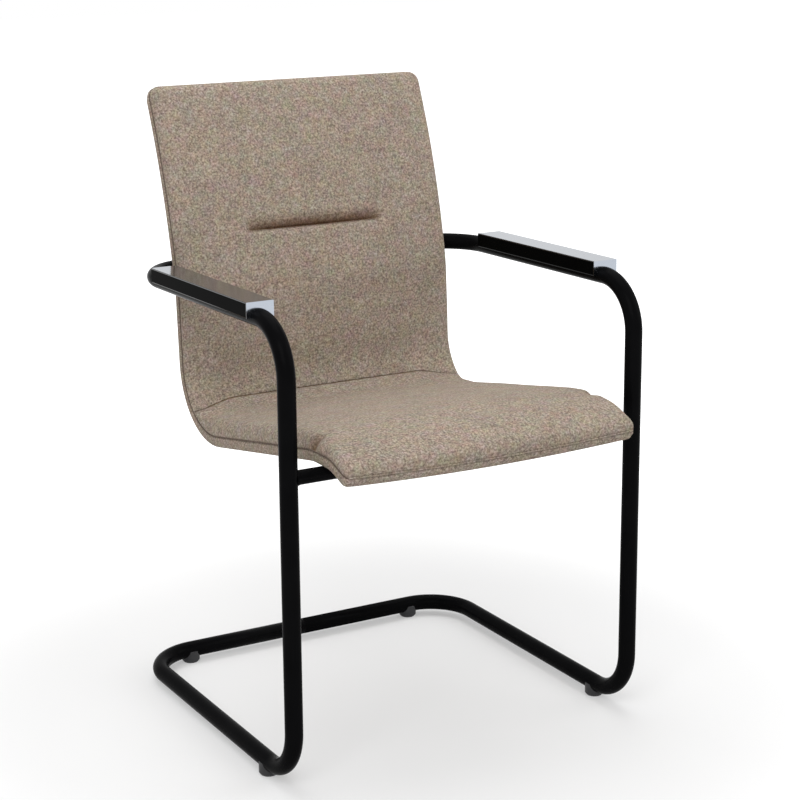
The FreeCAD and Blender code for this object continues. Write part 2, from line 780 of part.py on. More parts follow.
def glide(foot):
    """Round moulded foot with ears that hold the tube and a peg that enters it."""
    sole_r, body_r = GLIDE_SOLE_D / 2, GLIDE_D / 2
    ear_z = FLOOR_AXIS_Z - GLIDE_EAR_CHAMFER
    profile = [(0, 0), (sole_r, 0), (body_r, GLIDE_CHAMFER_HEIGHT), (body_r, ear_z),
               (body_r - GLIDE_EAR_CHAMFER, FLOOR_AXIS_Z), (0, FLOOR_AXIS_Z)]
    points = [foot + Vector(r, 0, z) for r, z in profile]
    body = Part.Face(Part.makePolygon(points + points[:1])).revolve(foot, UP, 360)
    body = body.cut(round_bar(frame_path(), TUBE_R))
    peg_foot = foot + UP * (GLIDE_STAND / 2)
    peg = cylinder(GLIDE_PEG_D, peg_foot, peg_foot + UP * (GLIDE_STAND / 2 + GLIDE_PEG_HEIGHT))
    return joined([body, peg])


def build_chair():
    """All pieces of the chair by name, still with the front legs on y = 0."""
    spine = Spine(spine_path())
    tube_left, tube_right = frame_halves()
    pieces = {
        "frame_tube_left": tube_left,
        "frame_tube_right": tube_right,
        "seat_crossbar": seat_crossbar(),
        "shell_board": shell_board(spine),
        "rear_cover": rear_cover(spine),
        "back_cushion": back_cushion(spine),
        "seat_cushion": seat_cushion(spine),
    }
    for name, fixing in (("seat", seat_fixing()), ("back", back_fixing())):
        for side, x in zip(("left", "right"), fixing_xs()):
            pieces[f"{name}_saddle_{side}"] = saddle(fixing, x)
        pieces[f"{name}_screws"] = Part.makeCompound(shell_screws(fixing))
        pieces[f"{name}_tee_nuts"] = Part.makeCompound(tee_nuts(fixing))
    right_side = {
        "arm_pad": arm_pad(),
        "arm_trim": arm_trim(),
    }
    for name, shape in right_side.items():
        pieces[f"{name}_left"] = mirrored(shape)
        pieces[f"{name}_right"] = shape
    repeated = {
        "glides_front": [glide(front_glide_foot())],
        "glides_rear": [glide(rear_glide_foot())],
        "arm_pad_screws": arm_pad_screws(),
        "arm_pad_inserts": arm_pad_inserts(),
    }
    for name, made in repeated.items():
        pieces[name] = Part.makeCompound([mirrored(shape) for shape in made] + made)
    return pieces


def main():
    """Build the chair, centre its depth on the origin and write one file per piece."""
    pieces = build_chair()
    bounds = FreeCAD.BoundBox()
    for shape in pieces.values():
        bounds.add(shape.optimalBoundingBox(False, False))
    shift = Vector(0, -bounds.Center.y, 0)
    print(f"size {bounds.XLength:.1f} x {bounds.YLength:.1f} x {bounds.ZLength:.1f}, shift {shift.y:.3f}")
    os.makedirs("parts", exist_ok=True)
    for name, shape in pieces.items():
        shape.translate(shift)
        shape.exportStep(f"parts/{name}.step")
        print(f"{name}: {len(shape.Solids)} solids, {shape.Volume / 1000:.1f} cm3, valid {shape.isValid()}")


main()
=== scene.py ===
"""Sled base visitor chair: upholstery, finishes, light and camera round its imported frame.

Sizes are in millimetres in the classes below and become metres where a mesh is made.
"""

import json
import logging
import math
from collections.abc import Callable, Iterable, Sequence
from dataclasses import dataclass, field
from enum import Enum

import bmesh
import bpy
from mathutils import Matrix, Vector, noise

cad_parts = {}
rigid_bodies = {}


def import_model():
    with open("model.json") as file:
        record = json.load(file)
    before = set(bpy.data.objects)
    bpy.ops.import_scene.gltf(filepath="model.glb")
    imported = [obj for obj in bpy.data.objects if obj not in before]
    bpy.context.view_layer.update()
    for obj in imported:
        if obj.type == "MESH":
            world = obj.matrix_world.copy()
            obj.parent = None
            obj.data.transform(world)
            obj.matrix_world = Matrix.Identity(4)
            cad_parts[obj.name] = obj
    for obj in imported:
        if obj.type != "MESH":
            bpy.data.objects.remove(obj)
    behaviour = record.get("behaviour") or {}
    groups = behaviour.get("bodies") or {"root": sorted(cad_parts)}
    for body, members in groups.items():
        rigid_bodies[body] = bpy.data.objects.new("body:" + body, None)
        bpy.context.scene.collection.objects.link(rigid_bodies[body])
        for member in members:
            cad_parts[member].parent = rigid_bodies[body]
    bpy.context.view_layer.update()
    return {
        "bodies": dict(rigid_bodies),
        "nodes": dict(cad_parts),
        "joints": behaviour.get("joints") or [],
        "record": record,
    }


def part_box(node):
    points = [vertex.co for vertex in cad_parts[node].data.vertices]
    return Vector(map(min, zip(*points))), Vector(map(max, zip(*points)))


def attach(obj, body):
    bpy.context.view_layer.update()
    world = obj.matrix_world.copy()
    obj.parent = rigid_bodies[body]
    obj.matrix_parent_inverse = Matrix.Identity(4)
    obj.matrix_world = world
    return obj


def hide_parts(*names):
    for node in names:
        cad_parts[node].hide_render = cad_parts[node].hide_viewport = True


MM = 0.001
BODY = "root"
# Mesh mark that holds painted shade for the cloth: how much darker and warmer it is drawn in the lumbar crease
# and the seat's pinch.
FOLD_SHADE_MARK = "fold_shade"
SEWN_MARK = "sewn"
ON_EDGE = 0.01
CREASE_ROWS = (-22, -16, -12, -9, -7.6, -6.2, -4.8, -3.6, -2.4, -1.3, -0.4, 0.1, 0.8, 1.6, 2.6, 4, 6, 9, 14, 20)
PINCH_ROWS = (-20, -14, -9, -5, -2, 0, 2, 5, 9, 14, 20)

log = logging.getLogger("visitor_chair")

Point = tuple[float, float, float]
Socket = bpy.types.NodeSocket


def linear(hex_colour: str) -> tuple[float, float, float, float]:
    """Turn an sRGB hex colour into linear light.

    Args:
        hex_colour: six hexadecimal digits, such as "9A8C7E".

    Returns:
        Red, green, blue and an alpha of 1.
    """
    parts = [int(hex_colour[k:k + 2], 16) / 255 for k in (0, 2, 4)]
    light = [v / 12.92 if v <= 0.04045 else ((v + 0.055) / 1.055) ** 2.4 for v in parts]
    return (light[0], light[1], light[2], 1.0)


def add_node(tree: bpy.types.NodeTree, kind: str, settings: dict | None = None,
             inputs: dict | None = None) -> bpy.types.Node:
    """Add a node, set its properties and fill or link its inputs.

    Args:
        tree: node tree that gets the node.
        kind: Blender's node type.
        settings: properties of the node by name.
        inputs: values or output sockets by input name or number.

    Returns:
        The new node.
    """
    node = tree.nodes.new(kind)
    for name, value in (settings or {}).items():
        setattr(node, name, value)
    for name, value in (inputs or {}).items():
        if isinstance(value, bpy.types.NodeSocket):
            tree.links.new(value, node.inputs[name])
        else:
            node.inputs[name].default_value = value
    return node


def set_ramp(node: bpy.types.Node, stops: Sequence[tuple[float, str]]) -> None:
    """Give a colour ramp its stops.

    Args:
        node: the colour ramp node.
        stops: position and sRGB hex colour of each stop.
    """
    ramp = node.color_ramp
    while len(ramp.elements) < len(stops):
        ramp.elements.new(0.5)
    for element, (position, colour) in zip(ramp.elements, stops):
        element.position = position
        element.color = linear(colour)


def new_material(name: str) -> tuple[bpy.types.Material, bpy.types.NodeTree, bpy.types.Node]:
    """Start a material.

    Args:
        name: name of the finish.

    Returns:
        The material, its tree and its Principled shader, already linked to the output.
    """
    material = bpy.data.materials.new(name)
    material.use_nodes = True
    tree = material.node_tree
    tree.nodes.clear()
    shader = add_node(tree, "ShaderNodeBsdfPrincipled")
    add_node(tree, "ShaderNodeOutputMaterial", inputs={"Surface": shader.outputs["BSDF"]})
    return material, tree, shader


def per_metre(size_mm: float) -> float:
    """Texture scale whose pattern repeats about every size_mm."""
    return 1.0 / (size_mm * MM)


@dataclass(frozen=True)
class WoolMelange:
    """Wool melange upholstery cloth, dyed in the fibre and milled after weaving.

    The milling hides the weave, so the eye sees a matt, slightly hairy ground of mixed beige
    and brown fibres, with soft clouds of pink, green and blue fibres in it. Fibres are far
    below a pixel, so the grain is drawn about 3 mm coarse, as the eye sees tufts of them.
    """

    name: str = "wool_melange_cloth"
    dark: str = "6F6157"
    ground: str = "988A7B"
    light: str = "BEB0A1"
    # Colour multiplied into the cloth as painted shade in the lumbar crease and the seat's pinch.
    painted_fold_shade: str = "997045"
    tuft_mm: float = 2.9
    fibre_mm: float = 0.9
    fleck_mm: float = 9.0
    blush_mm: float = 24.0
    fleck_strength: float = 0.14
    blush_strength: float = 0.11
    cloud_mm: float = 46.0
    cloud_strength: float = 0.05
    relief_mm: float = 0.6
    relief_strength: float = 0.6
    roughness: float = 0.95
    specular: float = 0.2
    sheen: float = 0.12
    sheen_roughness: float = 0.5
    sheen_tint: str = "D8CCC0"

    def build(self) -> bpy.types.Material:
        """Make the material."""
        material, tree, shader = new_material(self.name)
        where = add_node(tree, "ShaderNodeTexCoord").outputs["Object"]
        tuft = add_node(tree, "ShaderNodeTexNoise", inputs={
            "Vector": where, "Scale": per_metre(self.tuft_mm), "Detail": 3.0, "Roughness": 0.66})
        ground = add_node(tree, "ShaderNodeValToRGB", inputs={"Fac": tuft.outputs["Fac"]})
        set_ramp(ground, [(0.33, self.dark), (0.5, self.ground), (0.68, self.light)])
        flecked = self._add_dyes(tree, where, ground.outputs["Color"], self.fleck_mm, self.fleck_strength)
        dyed = self._add_dyes(tree, where, flecked, self.blush_mm, self.blush_strength)
        clouds = add_node(tree, "ShaderNodeTexNoise", inputs={
            "Vector": where, "Scale": per_metre(self.cloud_mm), "Detail": 2.0})
        cloud_tone = add_node(tree, "ShaderNodeMapRange", inputs={
            "Value": clouds.outputs["Fac"], "From Min": 0.3, "From Max": 0.7,
            "To Min": 1 - self.cloud_strength, "To Max": 1 + self.cloud_strength})
        toned = add_node(tree, "ShaderNodeVectorMath", {"operation": "SCALE"}, {
            0: dyed, "Scale": cloud_tone.outputs["Result"]})
        # Painted shade: the cloth is drawn darker and warmer where the mesh marks the crease and the pinch.
        fold_shaded = self._paint_fold_shade(tree, toned.outputs["Vector"])
        tree.links.new(fold_shaded, shader.inputs["Base Color"])
        fibre = add_node(tree, "ShaderNodeTexNoise", inputs={
            "Vector": where, "Scale": per_metre(self.fibre_mm), "Detail": 4.0, "Roughness": 0.7})
        relief = add_node(tree, "ShaderNodeMath", {"operation": "ADD"}, {
            0: fibre.outputs["Fac"], 1: tuft.outputs["Fac"]})
        bump = add_node(tree, "ShaderNodeBump", inputs={
            "Strength": self.relief_strength, "Distance": self.relief_mm * MM,
            "Height": relief.outputs["Value"]})
        tree.links.new(bump.outputs["Normal"], shader.inputs["Normal"])
        shader.inputs["Roughness"].default_value = self.roughness
        shader.inputs["Specular IOR Level"].default_value = self.specular
        shader.inputs["Sheen Weight"].default_value = self.sheen
        shader.inputs["Sheen Roughness"].default_value = self.sheen_roughness
        shader.inputs["Sheen Tint"].default_value = linear(self.sheen_tint)
        return material

    def _paint_fold_shade(self, tree: bpy.types.NodeTree, cloth: Socket) -> Socket:
        """Paint shade into the cloth where stitching pulls it into the lumbar crease and the seat's pinch:
        darker and warmer there.

        Args:
            tree: the material's tree.
            cloth: colour of the cloth.

        Returns:
            The colour, darker and warmer where the mesh marks painted shade.
        """
        # Painted shade, read from the mesh mark.
        fold_shade = add_node(tree, "ShaderNodeAttribute", {"attribute_name": FOLD_SHADE_MARK})
        shade = add_node(tree, "ShaderNodeVectorMath", {"operation": "MULTIPLY"}, {
            0: cloth, 1: linear(self.painted_fold_shade)[:3]})
        mixed = add_node(tree, "ShaderNodeMix", {"data_type": "RGBA"}, {
            "Factor": fold_shade.outputs["Fac"], 6: cloth, 7: shade.outputs["Vector"]})
        return mixed.outputs[2]

    def _add_dyes(self, tree: bpy.types.NodeTree, where: Socket, ground: Socket, size_mm: float,
                  strength: float) -> Socket:
        """Shift the colour of the ground by soft patches of differently dyed fibres.

        Args:
            tree: the material's tree.
            where: object coordinates.
            ground: colour of the ground.
            size_mm: size of the patches.
            strength: how much of a patch's colour shows.

        Returns:
            The colour with its patches.
        """
        patches = add_node(tree, "ShaderNodeTexNoise", inputs={
            "Vector": where, "Scale": per_metre(size_mm), "Detail": 1.5, "Roughness": 0.55})
        centred = add_node(tree, "ShaderNodeVectorMath", {"operation": "MULTIPLY_ADD"}, {
            0: patches.outputs["Color"], 1: (strength * 2, strength * 2, strength * 2),
            2: (1 - strength, 1 - strength, 1 - strength)})
        tinted = add_node(tree, "ShaderNodeVectorMath", {"operation": "MULTIPLY"}, {
            0: ground, 1: centred.outputs["Vector"]})
        return tinted.outputs["Vector"]


@dataclass(frozen=True)
class SeamThread:
    """Spun polyester sewing thread of the upholstery, a tone darker than the cloth."""

    name: str = "polyester_thread"
    colour: str = "75665A"
    shade: str = "5A4D43"
    twist_mm: float = 1.6
    roughness: float = 0.8
    specular: float = 0.25

    def build(self) -> bpy.types.Material:
        """Make the material."""
        material, tree, shader = new_material(self.name)
        where = add_node(tree, "ShaderNodeTexCoord").outputs["Object"]
        twist = add_node(tree, "ShaderNodeTexNoise", inputs={
            "Vector": where, "Scale": per_metre(self.twist_mm), "Detail": 2.0})
        ramp = add_node(tree, "ShaderNodeValToRGB", inputs={"Fac": twist.outputs["Fac"]})
        set_ramp(ramp, [(0.35, self.shade), (0.65, self.colour)])
        tree.links.new(ramp.outputs["Color"], shader.inputs["Base Color"])
        shader.inputs["Roughness"].default_value = self.roughness
        shader.inputs["Specular IOR Level"].default_value = self.specular
        return material


@dataclass(frozen=True)
class StovedEnamel:
    """Stoved enamel or lacquer: a smooth wet film with a faint orange peel.

    The eye gets deep black with long soft highlights along round tube and crisp ones on edges.
    """

    name: str
    colour: str
    worn: str
    roughness: float
    ior: float
    gloss: float = 0.5
    wear_mm: float = 60.0
    peel_mm: float = 4.0
    peel_depth_mm: float = 0.02
    peel_strength: float = 0.3

    def build(self) -> bpy.types.Material:
        """Make the material."""
        material, tree, shader = new_material(self.name)
        where = add_node(tree, "ShaderNodeTexCoord").outputs["Object"]
        handled = add_node(tree, "ShaderNodeTexNoise", inputs={
            "Vector": where, "Scale": per_metre(self.wear_mm), "Detail": 4.0, "Roughness": 0.6})
        ramp = add_node(tree, "ShaderNodeValToRGB", inputs={"Fac": handled.outputs["Fac"]})
        set_ramp(ramp, [(0.35, self.colour), (0.75, self.worn)])
        tree.links.new(ramp.outputs["Color"], shader.inputs["Base Color"])
        smear = add_node(tree, "ShaderNodeMapRange", inputs={
            "Value": handled.outputs["Fac"], "From Min": 0.3, "From Max": 0.7,
            "To Min": self.roughness * 0.9, "To Max": self.roughness * 1.15})
        tree.links.new(smear.outputs["Result"], shader.inputs["Roughness"])
        peel = add_node(tree, "ShaderNodeTexNoise", inputs={
            "Vector": where, "Scale": per_metre(self.peel_mm), "Detail": 1.0})
        bump = add_node(tree, "ShaderNodeBump", inputs={
            "Strength": self.peel_strength, "Distance": self.peel_depth_mm * MM,
            "Height": peel.outputs["Fac"]})
        tree.links.new(bump.outputs["Normal"], shader.inputs["Normal"])
        shader.inputs["IOR"].default_value = self.ior
        shader.inputs["Specular IOR Level"].default_value = self.gloss
        return material


@dataclass(frozen=True)
class DrawnMetal:
    """Metal with fine lines along one axis, left by rolling, brushing or polishing.

    The lines are hundredths of a millimetre apart and are drawn coarser, so that the highlight
    still breaks up along the piece.
    """

    name: str
    colour: str
    shade: str
    roughness: float
    line_mm: float = 0.5
    stretch: Point = (1.0, 0.03, 1.0)

    def build(self) -> bpy.types.Material:
        """Make the material."""
        material, tree, shader = new_material(self.name)
        where = add_node(tree, "ShaderNodeTexCoord").outputs["Object"]
        along = add_node(tree, "ShaderNodeMapping", inputs={"Vector": where, "Scale": self.stretch})
        lines = add_node(tree, "ShaderNodeTexNoise", inputs={
            "Vector": along.outputs["Vector"], "Scale": per_metre(self.line_mm), "Detail": 2.0})
        ramp = add_node(tree, "ShaderNodeValToRGB", inputs={"Fac": lines.outputs["Fac"]})
        set_ramp(ramp, [(0.3, self.shade), (0.7, self.colour)])
        tree.links.new(ramp.outputs["Color"], shader.inputs["Base Color"])
        matt = add_node(tree, "ShaderNodeMapRange", inputs={
            "Value": lines.outputs["Fac"], "To Min": self.roughness * 0.8, "To Max": self.roughness * 1.3})
        tree.links.new(matt.outputs["Result"], shader.inputs["Roughness"])
        shader.inputs["Metallic"].default_value = 1.0
        return material


@dataclass(frozen=True)
class MouldedNylon:
    """Black nylon from an eroded mould: an even fine grain that scatters every highlight."""

    name: str = "moulded_nylon"
    colour: str = "17171A"
    worn: str = "222225"
    grain_mm: float = 0.8
    grain_depth_mm: float = 0.06
    grain_strength: float = 0.4
    rub_mm: float = 14.0
    roughness: float = 0.5
    ior: float = 1.53

    def build(self) -> bpy.types.Material:
        """Make the material."""
        material, tree, shader = new_material(self.name)
        where = add_node(tree, "ShaderNodeTexCoord").outputs["Object"]
        grain = add_node(tree, "ShaderNodeTexNoise", inputs={
            "Vector": where, "Scale": per_metre(self.grain_mm), "Detail": 2.0})
        rubbed = add_node(tree, "ShaderNodeTexNoise", inputs={
            "Vector": where, "Scale": per_metre(self.rub_mm), "Detail": 3.0})
        ramp = add_node(tree, "ShaderNodeValToRGB", inputs={"Fac": rubbed.outputs["Fac"]})
        set_ramp(ramp, [(0.4, self.colour), (0.75, self.worn)])
        tree.links.new(ramp.outputs["Color"], shader.inputs["Base Color"])
        bump = add_node(tree, "ShaderNodeBump", inputs={
            "Strength": self.grain_strength, "Distance": self.grain_depth_mm * MM,
            "Height": grain.outputs["Fac"]})
        tree.links.new(bump.outputs["Normal"], shader.inputs["Normal"])
        shader.inputs["Roughness"].default_value = self.roughness
        shader.inputs["IOR"].default_value = self.ior
        return material


@dataclass(frozen=True)
class BeechPlywood:
    """Moulded beech plywood: pale veneer with short dark flecks along the grain."""

    name: str = "beech_plywood"
    light: str = "D3AE83"
    dark: str = "B58C60"
    grain_mm: float = 3.0
    stretch: Point = (1.0, 0.08, 0.08)
    roughness: float = 0.6

    def build(self) -> bpy.types.Material:
        """Make the material."""
        material, tree, shader = new_material(self.name)
        where = add_node(tree, "ShaderNodeTexCoord").outputs["Object"]
        along = add_node(tree, "ShaderNodeMapping", inputs={"Vector": where, "Scale": self.stretch})
        grain = add_node(tree, "ShaderNodeTexNoise", inputs={
            "Vector": along.outputs["Vector"], "Scale": per_metre(self.grain_mm), "Detail": 5.0})
        ramp = add_node(tree, "ShaderNodeValToRGB", inputs={"Fac": grain.outputs["Fac"]})
        set_ramp(ramp, [(0.35, self.dark), (0.65, self.light)])
        tree.links.new(ramp.outputs["Color"], shader.inputs["Base Color"])
        shader.inputs["Roughness"].default_value = self.roughness
        return material


@dataclass(frozen=True)
class EdgedMetal:
    """Polished stainless steel strip whose thin long edges are lacquered black with the pad.

    From above the eye sees a dull mirror; from the side the strip disappears into the pad.
    """

    name: str = "polished_stainless_strip"
    colour: str = "A3A9B1"
    shade: str = "969CA5"
    lacquer: str = "060606"
    roughness: float = 0.12
    line_mm: float = 0.6
    stretch: Point = (1.0, 0.03, 1.0)
    sideways_from: float = 0.35

    def build(self) -> bpy.types.Material:
        """Make the material."""
        material, tree, shader = new_material(self.name)
        where = add_node(tree, "ShaderNodeTexCoord").outputs["Object"]
        along = add_node(tree, "ShaderNodeMapping", inputs={"Vector": where, "Scale": self.stretch})
        lines = add_node(tree, "ShaderNodeTexNoise", inputs={
            "Vector": along.outputs["Vector"], "Scale": per_metre(self.line_mm), "Detail": 2.0})
        ramp = add_node(tree, "ShaderNodeValToRGB", inputs={"Fac": lines.outputs["Fac"]})
        set_ramp(ramp, [(0.3, self.shade), (0.7, self.colour)])
        facing = add_node(tree, "ShaderNodeSeparateXYZ", inputs={
            "Vector": add_node(tree, "ShaderNodeNewGeometry").outputs["True Normal"]})
        sideways = add_node(tree, "ShaderNodeMath", {"operation": "ABSOLUTE"}, {0: facing.outputs["X"]})
        edge = add_node(tree, "ShaderNodeMath", {"operation": "GREATER_THAN"}, {
            0: sideways.outputs["Value"], 1: self.sideways_from})
        shown = add_node(tree, "ShaderNodeMix", {"data_type": "RGBA"}, {
            "Factor": edge.outputs["Value"], 6: ramp.outputs["Color"], 7: linear(self.lacquer)})
        tree.links.new(shown.outputs[2], shader.inputs["Base Color"])
        bare = add_node(tree, "ShaderNodeMath", {"operation": "SUBTRACT"}, {0: 1.0, 1: edge.outputs["Value"]})
        tree.links.new(bare.outputs["Value"], shader.inputs["Metallic"])
        shader.inputs["Roughness"].default_value = self.roughness
        return material


class Finish(Enum):
    """Every finish of the chair, by the record's material slot."""

    wool_melange = WoolMelange()
    gloss_black_steel = StovedEnamel("stoved_enamel_steel", "0A0A0B", "0E0E0F", roughness=0.24, ior=1.06)
    gloss_black_pad = StovedEnamel("lacquered_pad", "060606", "080808", roughness=0.1, ior=1.04)
    polished_metal = EdgedMetal()
    black_nylon = MouldedNylon()
    zinc_steel = DrawnMetal("zinc_plated_steel", "B9BCC2", "8D9096", 0.32)
    brass = DrawnMetal("turned_brass", "C7A45B", "A5833F", 0.3)
    beech_plywood = BeechPlywood()


def make_object(name: str, points: Iterable[Sequence[float]], faces: Iterable[Sequence[int]],
                material: bpy.types.Material, smooth: bool = True,
                marks: dict[str, Sequence[float]] | None = None) -> bpy.types.Object:
    """Make an object from points in millimetres.

    Args:
        name: name of the piece.
        points: its points.
        faces: its faces, as point numbers.
        material: its finish.
        smooth: whether its faces are shaded smoothly.
        marks: values of each point, from 0 to 1, by the mark's name.

    Returns:
        The object, linked to the scene.
    """
    mesh = bpy.data.meshes.new(name)
    mesh.from_pydata([[v * MM for v in p] for p in points], [], list(faces))
    work = bmesh.new()
    work.from_mesh(mesh)
    for mark, values in (marks or {}).items():
        layer = work.verts.layers.float.new(mark)
        for vertex, value in zip(work.verts, values):
            vertex[layer] = value
    bmesh.ops.remove_doubles(work, verts=work.verts, dist=0.01 * MM)
    bmesh.ops.recalc_face_normals(work, faces=work.faces)
    work.to_mesh(mesh)
    work.free()
    mesh.polygons.foreach_set("use_smooth", [smooth] * len(mesh.polygons))
    mesh.materials.append(material)
    made = bpy.data.objects.new(name, mesh)
    bpy.context.scene.collection.objects.link(made)
    return made


def grid_faces(rows: int, columns: int) -> list[list[int]]:
    """Faces between the points of a grid that are numbered row after row."""
    corners = (0, 1, columns + 1, columns)
    return [[i * columns + j + k for k in corners] for i in range(rows - 1) for j in range(columns - 1)]


def smooth_step(share: float) -> float:
    """Ease from 0 to 1 with level ends."""
    share = min(max(share, 0.0), 1.0)
    return share * share * (3 - 2 * share)


def lean_normal(lean: float) -> tuple[float, float]:
    """Forward normal, in y and z, of a back that leans by some degrees."""
    return -math.cos(math.radians(lean)), math.sin(math.radians(lean))


@dataclass(frozen=True)
class Stretch:
    """Straight or evenly bent stretch of a line in side view; heading in radians from +Y towards +Z."""

    y: float
    z: float
    heading: float
    length: float
    bend: float

    def pose(self, distance: float) -> tuple[float, float, float]:
        """Place and heading at a distance from its start."""
        if abs(self.bend) < 1e-9:
            return (self.y + distance * math.cos(self.heading),
                    self.z + distance * math.sin(self.heading), self.heading)
        end = self.heading + self.bend * distance
        return (self.y + (math.sin(end) - math.sin(self.heading)) / self.bend,
                self.z - (math.cos(end) - math.cos(self.heading)) / self.bend, end)


@dataclass(frozen=True)
class ShellLine:
    """Middle line of the moulded board, from the top of the back to the nose of the seat."""

    arm_height: float = 648.0
    arm_drop: float = 9.5
    arm_depth: float = 484.8
    leg_lean: float = 5.0
    tube_d: float = 25.0
    floor_axis: float = 19.3
    seat_bar_d: float = 20.0
    seat_bar_height: float = 446.0
    back_web: float = 6.6
    seat_web: float = 1.5
    board: float = 11.0
    cover: float = 3.5
    shell_height: float = 898.5
    top_lean: float = 25.2
    back_lean: float = 12.0
    lower_lean: float = 3.5
    back_land: float = 28.0
    lumbar_r: float = 250.0
    corner_r: float = 98.0
    seam_turn: float = 38.0
    seat_slope: float = 10.5
    land_length: float = 51.5
    land_rear_reach: float = 25.5
    land_bend_r: float = 80.0
    nose_slope: float = 19.5
    nose_length: float = 54.0
    depth_shift: float = 0.0
    stretches: list[Stretch] = field(default_factory=list)

    def __post_init__(self) -> None:
        """Chain the stretches from the two bars that carry the shell."""
        stand_off = self.cover + self.board / 2
        out_y, out_z = lean_normal(self.back_lean)
        reach = self.tube_d / 2 + self.back_web + stand_off
        hold_y = self.arm_depth + out_y * reach
        hold_z = self.arm_height - self.arm_drop + out_z * reach
        up_y, up_z = out_z, -out_y
        land_y, land_z = hold_y + up_y * self.back_land / 2, hold_z + up_z * self.back_land / 2
        top, lean = math.radians(self.top_lean), math.radians(self.back_lean)
        upper_r = (self.shell_height - land_z) / (math.sin(top) - math.sin(lean))
        top_y = land_y - out_y * upper_r + lean_normal(self.top_lean)[0] * upper_r
        low_y, low_z = hold_y - up_y * self.back_land / 2, hold_z - up_z * self.back_land / 2
        lower = lean_normal(self.lower_lean)
        waist_y = low_y + (lower[0] - out_y) * self.lumbar_r
        waist_z = low_z + (lower[1] - out_z) * self.lumbar_r
        bar_y = self.leg_lean * (self.seat_bar_height - self.floor_axis) / (self.arm_height - self.floor_axis)
        seat_z = self.seat_bar_height + self.seat_bar_d / 2 + self.seat_web + stand_off
        rear_y = bar_y + self.land_rear_reach
        slope = math.tan(math.radians(self.seat_slope))
        steep = math.tan(math.radians(self.lower_lean))
        corner_y = (waist_y + steep * (seat_z + slope * rear_y - waist_z)) / (1 + steep * slope)
        corner_z = seat_z - slope * (corner_y - rear_y)
        corner_turn = 90 - self.lower_lean + self.seat_slope
        corner_cut = self.corner_r * math.tan(math.radians(corner_turn / 2))
        rear_cut = self.land_bend_r * math.tan(math.radians(self.seat_slope / 2))
        front_cut = self.land_bend_r * math.tan(math.radians(self.nose_slope / 2))
        seat_run = math.hypot(corner_y - rear_y, corner_z - seat_z)
        runs = [
            (upper_r, self.top_lean - self.back_lean, 0.0),
            (0.0, 0.0, self.back_land),
            (self.lumbar_r, self.back_lean - self.lower_lean, 0.0),
            (0.0, 0.0, math.hypot(corner_y - waist_y, corner_z - waist_z) - corner_cut),
            (self.corner_r, -corner_turn, 0.0),
            (0.0, 0.0, seat_run - corner_cut - rear_cut),
            (self.land_bend_r, self.seat_slope, 0.0),
            (0.0, 0.0, self.land_length - rear_cut - front_cut),
            (self.land_bend_r, self.nose_slope, 0.0),
            (0.0, 0.0, self.nose_length - front_cut),
        ]
        y, z, heading = top_y + self.depth_shift, self.shell_height, -math.radians(90 + self.top_lean)
        for radius, turn, run in runs:
            length = radius * math.radians(abs(turn)) if radius else run
            bend = math.copysign(1 / radius, turn) if radius else 0.0
            stretch = Stretch(y, z, heading, length, bend)
            self.stretches.append(stretch)
            y, z, heading = stretch.pose(length)

    @property
    def length(self) -> float:
        """Length from the top to the nose."""
        return sum(stretch.length for stretch in self.stretches)

    @property
    def seam(self) -> float:
        """Distance of the seam between back and seat."""
        above = sum(stretch.length for stretch in self.stretches[:4])
        return above + self.corner_r * math.radians(self.seam_turn)

    def place(self, distance: float, height: float, x: float) -> Point:
        """Point beside the line.

        Args:
            distance: distance from the top.
            height: height above the line, on the sitter's side.
            x: distance from the middle of the chair.

        Returns:
            The point, in millimetres.
        """
        left = distance
        for stretch in self.stretches:
            if left <= stretch.length or stretch is self.stretches[-1]:
                break
            left -= stretch.length
        y, z, heading = stretch.pose(left)
        return x, y + height * math.sin(heading), z - height * math.cos(heading)

    def distance_at(self, z: float) -> float:
        """Distance from the top to a height on the back."""
        low, high = 0.0, self.seam
        while high - low > 0.01:
            middle = (low + high) / 2
            low, high = (middle, high) if self.place(middle, 0, 0)[2] > z else (low, middle)
        return low


